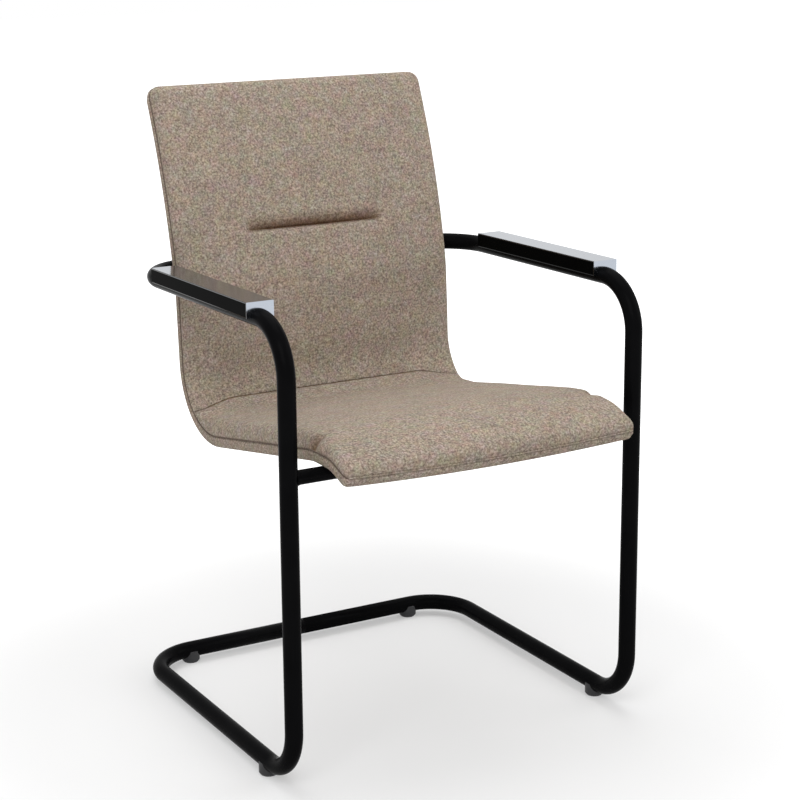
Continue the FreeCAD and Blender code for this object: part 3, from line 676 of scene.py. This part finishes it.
@dataclass
class Panel:
    """Upholstered panel on the shell: a sheet over a stretch of the line with rolled free edges.

    Across it runs b, from side to side. Along it runs a, from 0 to its length. Corners between
    free edges are rounded.
    """

    half_width: float
    length: float
    start_corner_r: float
    end_corner_r: float
    roll: float
    free_start: bool
    free_end: bool
    step: float = 8.0
    extra_rows: list[float] = field(default_factory=list)

    def _edge_marks(self, corner_r: float) -> list[float]:
        """Distances from a free edge, close together where the cloth turns over it."""
        turned = [self.roll * (1 - math.cos(math.radians(angle))) for angle in (0, 14, 28, 42, 56, 72, 90)]
        return turned + ([corner_r] if corner_r > self.roll + 1 else [])

    def _marks(self, length: float, start_free: bool, end_free: bool, extra: Sequence[float]) -> list[float]:
        """Grid lines along one way of the panel.

        Args:
            length: length that way.
            start_free: whether the edge at 0 is free.
            end_free: whether the edge at the length is free.
            extra: more lines, where detail needs them.

        Returns:
            Sorted places of the lines.
        """
        seam_edge = [0.0, 1.2, 3.0, 6.0, 10.0, 15.0]
        first = self._edge_marks(self.start_corner_r) if start_free else seam_edge
        last = [length - m for m in (self._edge_marks(self.end_corner_r) if end_free else seam_edge)]
        low, high = first[-1], last[-1]
        count = max(1, round((high - low) / self.step))
        inner = [low + (high - low) * k / count for k in range(1, count)]
        inner = [m for m in inner if all(abs(m - e) > self.step * 0.6 or abs(m - e) < 0.01 for e in extra)]
        return sorted(set(round(m, 3) for m in first + inner + list(extra) + last))

    def grid(self) -> tuple[list[list[tuple[float, float]]], list[list[float]]]:
        """Places of the grid's points and their distance from the nearest free edge."""
        rows = self._marks(self.length, self.free_start, self.free_end, self.extra_rows)
        columns = [m - self.half_width for m in self._marks(2 * self.half_width, True, True, [])]
        places, depths = [], []
        for a in rows:
            line, deep = [], []
            for b in columns:
                point, depth = self._round_corner(a, b)
                line.append(point)
                deep.append(depth)
            places.append(line)
            depths.append(deep)
        return places, depths

    def _round_corner(self, a: float, b: float) -> tuple[tuple[float, float], float]:
        """Move a grid point near a free corner onto the rounded outline.

        Args:
            a: place along the panel.
            b: place across it.

        Returns:
            The moved place, and its distance from the nearest free edge.
        """
        ending = a > self.length / 2
        radius = self.end_corner_r if ending else self.start_corner_r
        side = abs(b) - (self.half_width - radius)
        from_end = self.length - a if ending else a
        free = self.free_end if ending else self.free_start
        end = radius - from_end
        if side > 0 and end > 0 and free:
            u, v = side / radius, end / radius
            u, v = u * math.sqrt(1 - v * v / 2), v * math.sqrt(1 - u * u / 2)
            b = math.copysign(self.half_width - radius + u * radius, b)
            moved = radius * (1 - v)
            a = self.length - moved if ending else moved
            return (a, b), radius * (1 - min(math.hypot(u, v), 1.0))
        depth = self.half_width - abs(b)
        if free:
            depth = min(depth, from_end)
        return (a, b), max(depth, 0.0)


@dataclass
class Upholstery:
    """Cushions, rear cover and seams of the shell."""

    line: ShellLine
    cloth: bpy.types.Material
    thread: bpy.types.Material
    width: float = 458.0
    corner_r: float = 18.0
    nose_bow: float = 9.0
    bow_reach: float = 160.0
    seam_inset: float = 1.5
    back_foam: float = 13.5
    back_crown: float = 2.5
    back_blend: float = 90.0
    seat_foam: float = 24.5
    seat_crown: float = 4.0
    seat_blend: float = 85.0
    nose_foam: float = 15.0
    nose_blend: float = 144.0
    edge_roll: float = 14.0
    edge_turn: float = 2.2
    edge_rise: float = 0.55
    seam_foam: float = 2.5
    seam_puff: float = 0.3
    seam_puff_reach: float = 14.0
    soft_gap: float = 0.3
    cover_puff: float = 1.2
    crease_height: float = 686.5
    crease_half: float = 115.0
    crease_depth: float = 9.0
    crease_roll: float = 14.0
    crease_overhang: float = 10.0
    crease_rise: float = 2.4
    # Painted shade on the lumbar crease: its reach over the cloth above, its reach below and the size of its
    # ragged patches.
    crease_shade_reach: float = 19.0
    crease_shade_rise: float = 2.0
    crease_shade_patch: float = 6.0
    nose_corner_r: float = 9.0
    crease_puffs: tuple[Point, ...] = ((1.3, -17.0, 9.0), (1.1, 12.0, 8.0))
    pinch_from_nose: float = 94.0
    pinch_depth: float = 11.0
    pinch_length: float = 10.0
    pinch_reach: float = 15.0
    # Painted shade in the seat's pinch: its strength, its length along the seat and its reach from the edge.
    pinch_shade: float = 0.78
    pinch_shade_length: float = 9.0
    pinch_shade_reach: float = 17.0
    pinch_fold_depth: float = 0.9
    pinch_fold_pitch: float = 5.5
    pinch_fold_length: float = 22.0
    pinch_fold_reach: float = 26.0
    wave_height: float = 0.8
    wave_length: float = 75.0
    pucker_height: float = 0.55
    pucker_length: float = 11.0
    pucker_reach: float = 9.0
    cover_inset: float = 0.2
    cover_round: float = 6.0
    cover_thickness: float = 2.2
    stitch: float = 3.2
    thread_radius: float = 0.95
    ridge_radius: float = 1.5
    foam_fill: float = 0.9
    seam_droop: float = 17.0
    droop_reach: float = 74.0
    droop_fade: float = 30.0

    def build(self) -> None:
        """Build every soft piece."""
        self._back_pad()
        self._seat_pad()
        self._rear_panel()
        self._perimeter_seam()

    def _bowed(self, distance: float, b: float) -> float:
        """Draw the front of the seat back towards its sides.

        Args:
            distance: distance along the line in the middle of the chair.
            b: place across.

        Returns:
            The distance at that place.
        """
        near = smooth_step((distance - (self.line.length - self.bow_reach)) / self.bow_reach)
        return distance - self.nose_bow * (b / (self.width / 2)) ** 2 * near

    def _edge_share(self, depth: float) -> float:
        """Share of the full foam at a distance from a free edge."""
        reach = 1 - min(depth / self.edge_roll, 1.0)
        return (1 - reach ** self.edge_turn) ** self.edge_rise

    def _seam_share(self, from_seam: float, blend: float) -> float:
        """Share of the full foam at a distance from the seam between back and seat."""
        puff = math.sqrt(min(from_seam / self.seam_puff_reach, 1.0))
        eased = math.sin(math.pi / 2 * min(from_seam / blend, 1.0)) ** 2
        return self.seam_puff * puff + (1 - self.seam_puff) * eased

    def _ripple(self, a: float, b: float, depth: float, seed: float) -> float:
        """Unevenness of stuffed cloth: slow waves, and puckers that fade away from the seam."""
        wave, pucker = self.wave_length, self.pucker_length
        slow = noise.noise(Vector((a / wave, b / wave, seed))) * self.wave_height
        pull = noise.noise(Vector((a / pucker, b / pucker, seed + 7.0))) * self.pucker_height
        pull *= math.exp(-depth / self.pucker_reach)
        return slow * min(depth / 20.0, 1.0) + pull * min(depth / 3.0, 1.0)

    def _crease(self, off: float, b: float) -> tuple[float, float]:
        """Depth and sideways pull of the sewn lumbar crease.

        The cloth above rolls over into it and hangs a little over its bottom; the cloth below
        comes up steeply and catches the light.

        Args:
            off: distance below the crease.
            b: place across.

        Returns:
            How deep the cloth lies, and how far it is pulled down the back.
        """
        reach = max(1 - (b / self.crease_half) ** 2, 0.0)
        if not reach:
            return 0.0, 0.0
        ends = reach ** 0.35
        broad = reach ** 0.7
        puff = sum(height * math.exp(-((off - place) / reach_off) ** 2)
                   for height, place, reach_off in self.crease_puffs)
        if off <= 0:
            over = max(1 + off / self.crease_roll, 0.0)
            drop = self.crease_depth * over ** 1.8
            return (drop - puff) * ends, self.crease_overhang * over * (1 - over) * broad
        return (self.crease_depth * math.exp(-(off / self.crease_rise) ** 1.3) - puff) * ends, 0.0

    def _crease_shade(self, off: float, b: float) -> float:
        """Strength of the painted shade on the lumbar crease, from 0 to 1: full at the crease, fading over the
        cloth that rolls in above it and quickly below it.
        """
        reach = max(1 - (b / self.crease_half) ** 2, 0.0)
        ragged = 1 + 0.25 * noise.noise(Vector((b / self.crease_shade_patch, off / self.crease_shade_patch, 3.0)))
        if off <= 0:
            return min(max(1 + off / self.crease_shade_reach, 0.0) ** 0.8 * reach ** 0.2 * ragged, 1.0)
        return math.exp(-(off / self.crease_shade_rise) ** 2) * reach ** 0.2

    def _pinch(self, along: float, depth: float) -> float:
        """Depth of the dimple where the cloth is held down at each side of the seat, before the nose.

        Args:
            along: distance from it along the seat.
            depth: distance from the free edge.

        Returns:
            How deep the cloth lies.
        """
        hollow = math.exp(-(along / self.pinch_length) ** 2) * math.exp(-(depth / self.pinch_reach) ** 2)
        near = math.exp(-(along / self.pinch_fold_length) ** 2)
        near *= math.exp(-(depth / self.pinch_fold_reach) ** 2)
        folds = near * math.cos(along / self.pinch_fold_pitch)
        return self.pinch_depth * hollow + self.pinch_fold_depth * folds

    def _drooped(self, from_seam: float, b: float) -> float:
        """Distance by which the seam between back and seat runs forward near the sides."""
        near_side = smooth_step((abs(b) - self.width / 2 + self.droop_reach) / self.droop_reach)
        return self.seam_droop * near_side * math.exp(-from_seam / self.droop_fade)

    def _closed_pad(self, name: str, panel: Panel, height: Callable[[float, float, float], float],
                    spot: Callable[[float, float, float], Point],
                    shade: Callable[[float, float, float], float]) -> bpy.types.Object:
        """Build a cushion: crowned face, sides drawn in to the seam and a flat underside.

        Args:
            name: name of the piece.
            panel: its outline and grid.
            height: foam height at a, b and a distance from the free edge.
            spot: point at a, b and a height above the board.
            shade: strength of the painted shade at a, b and a distance from the free edge.

        Returns:
            The cushion, closed all round.
        """
        places, depths = panel.grid()
        rows, columns = len(places), len(places[0])
        points: list[Point] = []
        folds: list[float] = []
        sewn: list[float] = []
        for line, deep in zip(places, depths):
            for (a, b), depth in zip(line, deep):
                # Painted shade of each point, kept as a mesh mark for the cloth's colour.
                fold_shade = shade(a, b, depth)
                points.append(spot(a, b, height(a, b, depth)))
                folds.append(fold_shade)
                sewn.append(1.0 if depth < ON_EDGE or a < ON_EDGE or fold_shade > 0.5 else 0.0)
        base = len(points)
        folds += [0.0] * base
        sewn += [1.0] * base
        tuck = self.seam_inset
        for line in places:
            for a, b in line:
                inner_b = b * (1 - tuck / panel.half_width)
                inner_a = min(max(a, tuck), panel.length - tuck)
                points.append(spot(inner_a, inner_b, 0.0))
        faces = []
        for quad in grid_faces(rows, columns):
            faces.append(quad)
            faces.append([base + k for k in reversed(quad)])
        rim = self._rim(rows, columns)
        for first, last in zip(rim, rim[1:] + rim[:1]):
            faces.append([first, last, base + last, base + first])
        pad = make_object(name, points, faces, self.cloth, marks={FOLD_SHADE_MARK: folds, SEWN_MARK: sewn})
        fill_out(pad)
        soften = pad.modifiers.new("soften", "SUBSURF")
        soften.levels = soften.render_levels = 1
        return pad

    def _rim(self, rows: int, columns: int) -> list[int]:
        """Numbers of the border points of a grid, in order."""
        top = list(range(columns))
        right = [i * columns + columns - 1 for i in range(1, rows)]
        bottom = [(rows - 1) * columns + j for j in range(columns - 2, -1, -1)]
        left = [i * columns for i in range(rows - 2, 0, -1)]
        return top + right + bottom + left

    def _back_pad(self) -> None:
        """Front of the back, with its lumbar crease."""
        start = self.line.seam - self.soft_gap
        crease_at = start - self.line.distance_at(self.crease_height)
        near = [crease_at - off for off in CREASE_ROWS]
        panel = Panel(self.width / 2, start, self.corner_r, self.corner_r, self.edge_roll, False, True,
                      extra_rows=near)

        def height(a: float, b: float, depth: float) -> float:
            share = self._edge_share(depth) * self._seam_share(a, self.back_blend)
            crown = self.back_crown * (1 - (b / panel.half_width) ** 2)
            full = self.seam_foam + (self.back_foam + crown - self.seam_foam) * share
            return full + self._ripple(a, b, min(depth, a), 1.0) - self._crease(crease_at - a, b)[0]

        def spot(a: float, b: float, level: float) -> Point:
            pull = self._crease(crease_at - a, b)[1] if level > 1 else 0.0
            distance = start - a + pull + self._drooped(a, b)
            return self.line.place(distance, self.line.board / 2 + self.soft_gap + level, b)

        # Painted shade in the lumbar crease.
        def shade(a: float, b: float, depth: float) -> float:
            return self._crease_shade(crease_at - a, b)

        pad = self._closed_pad("back_pad", panel, height, spot, shade)
        self._declare(pad, "back_cushion")

    def _seat_pad(self) -> None:
        """Top of the seat, thinner and bowed at the nose."""
        start = self.line.seam + self.soft_gap
        length = self.line.length - start
        pinched_at = length - self.pinch_from_nose
        near = [pinched_at + off for off in PINCH_ROWS]
        panel = Panel(self.width / 2, length, self.nose_corner_r, self.nose_corner_r, self.edge_roll, False,
                      True, extra_rows=near)

        def height(a: float, b: float, depth: float) -> float:
            from_nose = min((length - a) / self.nose_blend, 1.0)
            foam = self.nose_foam + (self.seat_foam - self.nose_foam) * from_nose
            share = self._edge_share(depth) * self._seam_share(a, self.seat_blend)
            crown = self.seat_crown * (1 - (b / panel.half_width) ** 2)
            full = self.seam_foam + (foam + crown - self.seam_foam) * share
            pressed = self._pinch(a - pinched_at, depth)
            return max(full + self._ripple(a, b, min(depth, a), 5.0) - pressed, 1.0)

        def spot(a: float, b: float, level: float) -> Point:
            distance = self._bowed(start + a + self._drooped(a, b), b)
            return self.line.place(distance, self.line.board / 2 + self.soft_gap + level, b)

        # Painted shade in the seat's pinch.
        def shade(a: float, b: float, depth: float) -> float:
            near_pinch = math.exp(-((a - pinched_at) / self.pinch_shade_length) ** 2)
            return self.pinch_shade * near_pinch * math.exp(-(depth / self.pinch_shade_reach) ** 2)

        pad = self._closed_pad("seat_pad", panel, height, spot, shade)
        self._declare(pad, "seat_cushion")

    def _rear_panel(self) -> None:
        """Cover behind and under the board, drawn up round its edge to the seam."""
        half = self.width / 2 - self.cover_inset
        round_r = self.cover_round
        panel = Panel(half, self.line.length, self.corner_r, self.nose_corner_r, round_r, True, True,
                      step=12.0)
        places, depths = panel.grid()
        rows, columns = len(places), len(places[0])
        low = -(self.line.cover + self.line.board / 2) - self.cover_puff
        high = self.line.board / 2

        def spot(a: float, b: float, level: float) -> Point:
            return self.line.place(self._bowed(a, b), level, b)

        points: list[Point] = []
        for line, deep in zip(places, depths):
            for (a, b), depth in zip(line, deep):
                reach = 1 - min(depth / round_r, 1.0)
                points.append(spot(a, b, low + round_r * (1 - math.sqrt(1 - reach * reach))))
        faces = grid_faces(rows, columns)
        rim = self._rim(rows, columns)
        flat = [place for line in places for place in line]
        ring = rim
        middle, end_zone = panel.length / 2, 40.0
        puffed = (0.5 * (low + round_r + high), -self.cover_puff)
        for level, inset in (puffed, (high - 1.0, 0.4), (high, 1.8), (high, 4.0)):
            start = len(points)
            for number in rim:
                a, b = flat[number]
                if abs(a - middle) > middle - end_zone:
                    a += inset if a < middle else -inset
                points.append(spot(a, b * (1 - inset / half), level))
            new_ring = list(range(start, start + len(rim)))
            for k in range(len(rim)):
                n = (k + 1) % len(rim)
                faces.append([ring[k], ring[n], new_ring[n], new_ring[k]])
            ring = new_ring
        cover = make_object("rear_panel", points, faces, self.cloth)
        thick = cover.modifiers.new("cloth_and_felt", "SOLIDIFY")
        thick.thickness = self.cover_thickness * MM
        thick.offset = -1.0
        self._declare(cover, "rear_cover")

    def _perimeter_seam(self) -> None:
        """Thread in the seam round the shell, and the raised ridge of cloth along the nose."""
        half = self.width / 2 - self.soft_gap
        total = self.line.length
        top_r, nose_r = self.corner_r, self.nose_corner_r
        outline: list[tuple[float, float]] = []
        corners = [(top_r, half - top_r, top_r, 0), (total - nose_r, half - nose_r, nose_r, 90),
                   (total - nose_r, nose_r - half, nose_r, 180), (top_r, top_r - half, top_r, 270)]
        for a0, b0, radius, turn in corners:
            for k in range(9):
                angle = math.radians(turn + 90 * k / 8)
                outline.append((a0 - radius * math.cos(angle), b0 + radius * math.sin(angle)))
        dense = self._divided(outline + outline[:1], self.stitch / 2)[:-1]
        nose = [spot for spot in dense if spot[0] > total - nose_r and abs(spot[1]) < half - nose_r / 2]
        rest = [spot for spot in dense if spot not in nose]
        turn = next(k for k in range(len(rest)) if math.dist(rest[k - 1], rest[k]) > self.stitch)
        self._thread_run("perimeter_seam", rest[turn:] + rest[:turn], self.thread_radius, self.thread)
        self._thread_run("nose_seam", sorted(nose, key=lambda spot: spot[1]), self.ridge_radius, self.cloth)

    def _divided(self, path: Sequence[tuple[float, float]], step: float) -> list[tuple[float, float]]:
        """Divide a path into steps of one length.

        Args:
            path: its corners.
            step: longest step.

        Returns:
            The path's points.
        """
        points = [path[0]]
        for (a0, b0), (a1, b1) in zip(path, path[1:]):
            count = max(1, math.ceil(math.hypot(a1 - a0, b1 - b0) / step))
            points += [(a0 + (a1 - a0) * k / count, b0 + (b1 - b0) * k / count) for k in range(1, count + 1)]
        return points

    def _thread_run(self, name: str, spots: Sequence[tuple[float, float]], radius: float,
                    finish: bpy.types.Material) -> None:
        """Sweep a stitched ridge along a run of the perimeter seam.

        Args:
            name: name of the piece.
            spots: its places, about half a stitch apart.
            radius: radius of the ridge between two stitches.
            finish: its finish.
        """
        height, waist, sides = self.line.board / 2 + 0.9, 0.74, 6
        run = [self.line.place(self._bowed(a, b), height, b) for a, b in spots]
        radii = [radius if k % 2 else radius * waist for k in range(len(run))]
        points, faces = sweep(run, radii, sides)
        seam = make_object(name, points, faces, finish)
        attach(seam, BODY)
        log.info("piece %s: %d points", name, len(points))

    def _declare(self, piece: bpy.types.Object, node: str) -> None:
        """Attach a soft piece to the body and hide the node that it stands for."""
        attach(piece, BODY)
        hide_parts(node)
        log.info("piece %s: %d points", piece.name, len(piece.data.vertices))


def fill_out(pad: bpy.types.Object, pressure: float = 4.0, frames: int = 20, most: float = 1.4) -> None:
    """Let the foam push the cloth out between its stitching, as a short cloth simulation.

    Args:
        pad: the cushion; points marked as sewn stay where they are.
        pressure: pressure of the foam.
        frames: length of the simulation.
        most: furthest that a point may move, in millimetres.
    """
    mesh = pad.data
    group = pad.vertex_groups.new(name=SEWN_MARK)
    values = mesh.attributes[SEWN_MARK].data
    group.add([k for k, item in enumerate(values) if item.value > 0.5], 1.0, "REPLACE")
    cloth = pad.modifiers.new("cloth", "CLOTH")
    cloth.settings.quality = 4
    cloth.settings.vertex_group_mass = SEWN_MARK
    cloth.settings.use_pressure = True
    cloth.settings.uniform_pressure_force = pressure
    cloth.settings.effector_weights.gravity = 0.0
    cloth.point_cache.frame_start = 1
    cloth.point_cache.frame_end = frames
    scene = bpy.context.scene
    for frame in range(1, frames + 1):
        scene.frame_set(frame)
    settled = pad.evaluated_get(bpy.context.evaluated_depsgraph_get()).to_mesh()
    moved = [Vector(point.co) - vertex.co for point, vertex in zip(settled.vertices, mesh.vertices)]
    pad.to_mesh_clear()
    pad.modifiers.remove(cloth)
    pad.vertex_groups.clear()
    scene.frame_set(1)
    longest = max(step.length for step in moved) / MM
    for vertex, step in zip(mesh.vertices, moved):
        vertex.co += step * min(1.0, most / max(longest, 0.001))
    log.info("cloth of %s moved %.2f mm, scaled to %.2f mm", pad.name, longest, min(longest, most))


def sweep(path: Sequence[Point], radii: Sequence[float], sides: int) -> tuple[list[Point], list[list[int]]]:
    """Sweep a round section along a path, without twist.

    Args:
        path: points of the middle line.
        radii: radius at each of them.
        sides: points round the section.

    Returns:
        Points and faces of the tube, its ends open.
    """
    line = [Vector(p) for p in path]
    count = len(line)
    points: list[Point] = []
    across = None
    for k, here in enumerate(line):
        before = line[k - 1] if k else here
        after = line[k + 1] if k < count - 1 else here
        way = (after - before).normalized()
        if across is None:
            across = way.orthogonal()
        across = (across - way * across.dot(way)).normalized()
        other = way.cross(across)
        for n in range(sides):
            angle = 2 * math.pi * n / sides
            points.append(tuple(here + (across * math.cos(angle) + other * math.sin(angle)) * radii[k]))
    faces = []
    for k in range(count - 1):
        for n in range(sides):
            m = (n + 1) % sides
            faces.append([k * sides + n, k * sides + m, (k + 1) * sides + m, (k + 1) * sides + n])
    return points, faces


@dataclass
class TubeFrame:
    """Bent tube frame in two halves, and the bar under the front of the seat."""

    line: ShellLine
    enamel: bpy.types.Material
    width: float = 574.8
    wall: float = 2.0
    runner_depth: float = 511.5
    leg_bend_r: float = 72.0
    floor_bend_r: float = 75.0
    back_bend_r: float = 82.0
    sides: int = 64
    bend_steps: int = 28

    @property
    def side_x(self) -> float:
        """Distance of the legs' axis from the middle."""
        return (self.width - self.line.tube_d) / 2

    def _corners(self) -> list[Point]:
        """Corners of the right half's axis, from behind the back to the rear floor bar."""
        line, x = self.line, self.side_x
        bar_z = line.arm_height - line.arm_drop
        flat = [(0, line.arm_depth, bar_z), (x, line.arm_depth, bar_z), (x, line.leg_lean, line.arm_height),
                (x, 0, line.floor_axis), (x, self.runner_depth, line.floor_axis),
                (0, self.runner_depth, line.floor_axis)]
        return [(px, py + line.depth_shift, pz) for px, py, pz in flat]

    def _axis(self) -> list[Vector]:
        """The axis with its bends rounded."""
        corners = [Vector(p) for p in self._corners()]
        radii = [self.back_bend_r, self.leg_bend_r, self.leg_bend_r, self.floor_bend_r]
        path = [corners[0]]
        for before, corner, after, radius in zip(corners, corners[1:], corners[2:], radii):
            into, away = (corner - before).normalized(), (after - corner).normalized()
            turn = into.angle(away)
            start = corner - into * radius * math.tan(turn / 2)
            axis = into.cross(away).normalized()
            centre = start + axis.cross(into) * radius
            for k in range(self.bend_steps + 1):
                spin = Matrix.Rotation(turn * k / self.bend_steps, 3, axis)
                path.append(centre + spin @ (start - centre))
        path.append(corners[-1])
        return path

    def build(self) -> None:
        """Build both halves and the seat bar."""
        axis = self._axis()
        for side, sign in (("left", -1), ("right", 1)):
            path = [(p.x * sign, p.y, p.z) for p in axis]
            points, faces = sweep(path, [self.line.tube_d / 2] * len(path), self.sides)
            tube = make_object(f"tube_{side}", points, faces, self.enamel)
            skin = tube.modifiers.new("wall", "SOLIDIFY")
            skin.thickness = self.wall * MM
            skin.offset = -1.0
            self._declare(tube, f"frame_tube_{side}")
        self._seat_bar()

    def _seat_bar(self) -> None:
        """Thinner bar between the legs, with a weld fillet at each end."""
        line = self.line
        y = line.leg_lean * (line.seat_bar_height - line.floor_axis) / (line.arm_height - line.floor_axis)
        y += line.depth_shift
        radius = line.seat_bar_d / 2
        leg_face = self.side_x - line.tube_d / 2
        weld = [(-3.0, 0.0), (-1.5, 0.3), (0.0, 0.9), (4.0, 1.2)]
        stations = [(0.0, 0.0)] + [(leg_face + past, grow) for past, grow in weld]
        ordered = [(-x, grow) for x, grow in reversed(stations[1:])] + stations
        points, faces = sweep([(x, y, line.seat_bar_height) for x, _ in ordered],
                              [radius + grow for _, grow in ordered], self.sides)
        bar = make_object("front_bar", points, faces, self.enamel)
        self._declare(bar, "seat_crossbar")

    def _declare(self, piece: bpy.types.Object, node: str) -> None:
        """Attach a tube to the body and hide the node that it stands for."""
        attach(piece, BODY)
        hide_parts(node)
        log.info("piece %s: %d points", piece.name, len(piece.data.vertices))


@dataclass
class CarriedParts:
    """Rigid parts that keep their construction shape: pads, trims, saddles, glides and fixings."""

    nodes: dict[str, bpy.types.Object]
    finishes: dict[str, bpy.types.Material]
    slots: dict[str, str]
    edge: float = 0.45
    edge_segments: int = 2
    sharp_from: float = 35.0

    def dress(self) -> None:
        """Give each part its finish and break its sharp edges."""
        for name, part in self.nodes.items():
            slot = self.slots[name]
            part.data.materials.clear()
            part.data.materials.append(self.finishes[slot])
            if slot in ("gloss_black_pad", "polished_metal", "black_nylon"):
                soft = part.modifiers.new("broken_edges", "BEVEL")
                soft.width = self.edge * MM
                soft.segments = self.edge_segments
                soft.limit_method = "ANGLE"
                soft.angle_limit = math.radians(self.sharp_from)
            log.info("node %s: %s", name, slot)


@dataclass
class Studio:
    """Pale floor, white backdrop, soft lamps and the camera."""

    depth_shift: float
    focal_px: float = 2009.52
    image_px: float = 800.0
    sensor_mm: float = 36.0
    camera_place: Point = (-1394.93, -2230.8, 1210.14)
    yaw: float = 0.5228
    pitch: float = 0.258
    roll: float = -0.0036
    floor_share: float = 0.62
    # Share of the floor's white glow left near the chair: a painted shade round and under it.
    floor_glow: float = 0.30
    sky_share: float = 0.62
    floor_half: float = 14000.0
    shade_from: float = 0.5
    shade_to: float = 1.5

    def build(self) -> None:
        """Set up the studio."""
        scene = bpy.context.scene
        scene.view_settings.view_transform = "Standard"
        self._camera(scene)
        self._world(scene)
        self._floor()
        self._lamp("key_softbox", place=(-2.6, -3.2, 3.6), target=(0.0, 0.0, 0.5), size=3.0, power=95.0)
        self._lamp("fill_softbox", place=(3.4, -2.2, 2.4), target=(0.0, 0.0, 0.45), size=2.6, power=34.0)
        self._lamp("top_softbox", place=(0.2, 0.8, 4.2), target=(0.0, 0.0, 0.4), size=3.2, power=60.0)

    def _camera(self, scene: bpy.types.Scene) -> None:
        """Place the camera as it stood for the photograph."""
        forward = Vector((math.sin(self.yaw) * math.cos(self.pitch),
                          math.cos(self.yaw) * math.cos(self.pitch), -math.sin(self.pitch)))
        right = Vector((math.cos(self.yaw), -math.sin(self.yaw), 0.0))
        up = right.cross(forward)
        turned = right * math.cos(self.roll) + up * math.sin(self.roll)
        upward = up * math.cos(self.roll) - right * math.sin(self.roll)
        data = bpy.data.cameras.new("view")
        data.sensor_width = self.sensor_mm
        data.lens = self.focal_px / self.image_px * self.sensor_mm
        data.clip_end = 60.0
        camera = bpy.data.objects.new("view", data)
        axes = Matrix((turned, upward, -forward)).transposed().to_4x4()
        x, y, z = self.camera_place
        axes.translation = Vector((x, y + self.depth_shift, z)) * MM
        camera.matrix_world = axes
        scene.collection.objects.link(camera)
        scene.camera = camera

    def _seen_directly(self, tree: bpy.types.NodeTree) -> Socket:
        """1 for rays from the camera or off gloss and glass, 0 for light on the object."""
        path = add_node(tree, "ShaderNodeLightPath")
        first = add_node(tree, "ShaderNodeMath", {"operation": "MAXIMUM"}, {
            0: path.outputs["Is Camera Ray"], 1: path.outputs["Is Glossy Ray"]})
        both = add_node(tree, "ShaderNodeMath", {"operation": "MAXIMUM"}, {
            0: first.outputs["Value"], 1: path.outputs["Is Transmission Ray"]})
        return both.outputs["Value"]

    def _world(self, scene: bpy.types.Scene) -> None:
        """White where it is seen, a plain grey sky where it lights the chair."""
        world = bpy.data.worlds.new("studio")
        scene.world = world
        world.use_nodes = True
        tree = world.node_tree
        tree.nodes.clear()
        strength = add_node(tree, "ShaderNodeMapRange", inputs={
            "Value": self._seen_directly(tree), "To Min": self.sky_share, "To Max": 1.0})
        sky = add_node(tree, "ShaderNodeBackground", inputs={
            "Color": (1.0, 1.0, 1.0, 1.0), "Strength": strength.outputs["Result"]})
        add_node(tree, "ShaderNodeOutputWorld", inputs={"Surface": sky.outputs["Background"]})

    def _floor(self) -> None:
        """Pale floor that keeps the chair's real shadow and glows white for rays from the camera, gloss and
        glass; the glow is dimmed near the chair, a painted shade under it.
        """
        half = self.floor_half
        material = bpy.data.materials.new("pale_floor")
        material.use_nodes = True
        tree = material.node_tree
        tree.nodes.clear()
        speckle = add_node(tree, "ShaderNodeTexNoise", inputs={"Scale": 40.0, "Detail": 2.0})
        tone = add_node(tree, "ShaderNodeMapRange", inputs={
            "Value": speckle.outputs["Fac"],
            "To Min": self.floor_share * 0.995, "To Max": self.floor_share * 1.005})
        matt = add_node(tree, "ShaderNodeBsdfDiffuse", inputs={"Color": tone.outputs["Result"]})
        where = add_node(tree, "ShaderNodeTexCoord").outputs["Object"]
        away = add_node(tree, "ShaderNodeVectorMath", {"operation": "LENGTH"}, {0: where})
        # Painted shade: the glow drops towards the chair's middle, so the floor there is drawn darker on top of
        # its real shadow.
        share = add_node(tree, "ShaderNodeMapRange", {"interpolation_type": "SMOOTHSTEP"}, {
            "Value": away.outputs["Value"], "From Min": self.shade_from, "From Max": self.shade_to,
            "To Min": self.floor_glow, "To Max": 1.0})
        glow = add_node(tree, "ShaderNodeMath", {"operation": "MULTIPLY"}, {
            0: self._seen_directly(tree), 1: share.outputs["Result"]})
        white = add_node(tree, "ShaderNodeEmission", inputs={"Strength": glow.outputs["Value"]})
        both = add_node(tree, "ShaderNodeAddShader", inputs={
            0: matt.outputs["BSDF"], 1: white.outputs["Emission"]})
        add_node(tree, "ShaderNodeOutputMaterial", inputs={"Surface": both.outputs["Shader"]})
        corners = [(-half, -half, 0), (half, -half, 0), (half, half, 0), (-half, half, 0)]
        make_object("floor", corners, [(0, 1, 2, 3)], material, smooth=False)

    def _lamp(self, name: str, place: Point, target: Point, size: float, power: float) -> None:
        """Hang a square softbox.

        Args:
            name: its name.
            place: where it hangs, in metres.
            target: what it points at, in metres.
            size: its side, in metres.
            power: its power in watts.
        """
        data = bpy.data.lights.new(name, "AREA")
        data.size = size
        data.energy = power
        lamp = bpy.data.objects.new(name, data)
        lamp.location = place
        lamp.rotation_euler = (Vector(target) - Vector(place)).to_track_quat("-Z", "Y").to_euler()
        bpy.context.scene.collection.objects.link(lamp)


def main() -> None:
    """Load the frame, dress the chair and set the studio."""
    logging.basicConfig(level=logging.INFO, format="%(name)s: %(message)s")
    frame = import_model()
    low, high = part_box("glides_front")
    # The drawing sets the front legs at zero depth, with the front glides 80 mm behind them.
    glide_depth = 80.0
    shift = (low[1] + high[1]) / 2 / MM - glide_depth
    finishes = {finish.name: finish.value.build() for finish in Finish}
    line = ShellLine(depth_shift=shift)
    TubeFrame(line, finishes["gloss_black_steel"]).build()
    Upholstery(line, finishes["wool_melange"], SeamThread().build()).build()
    slots = {part["node"]: part["material_slot"] for part in frame["record"]["subparts"]}
    CarriedParts(frame["nodes"], finishes, slots).dress()
    Studio(shift).build()
    log.info("depth shift %.3f mm", shift)


if __name__ == "__main__":
    main()
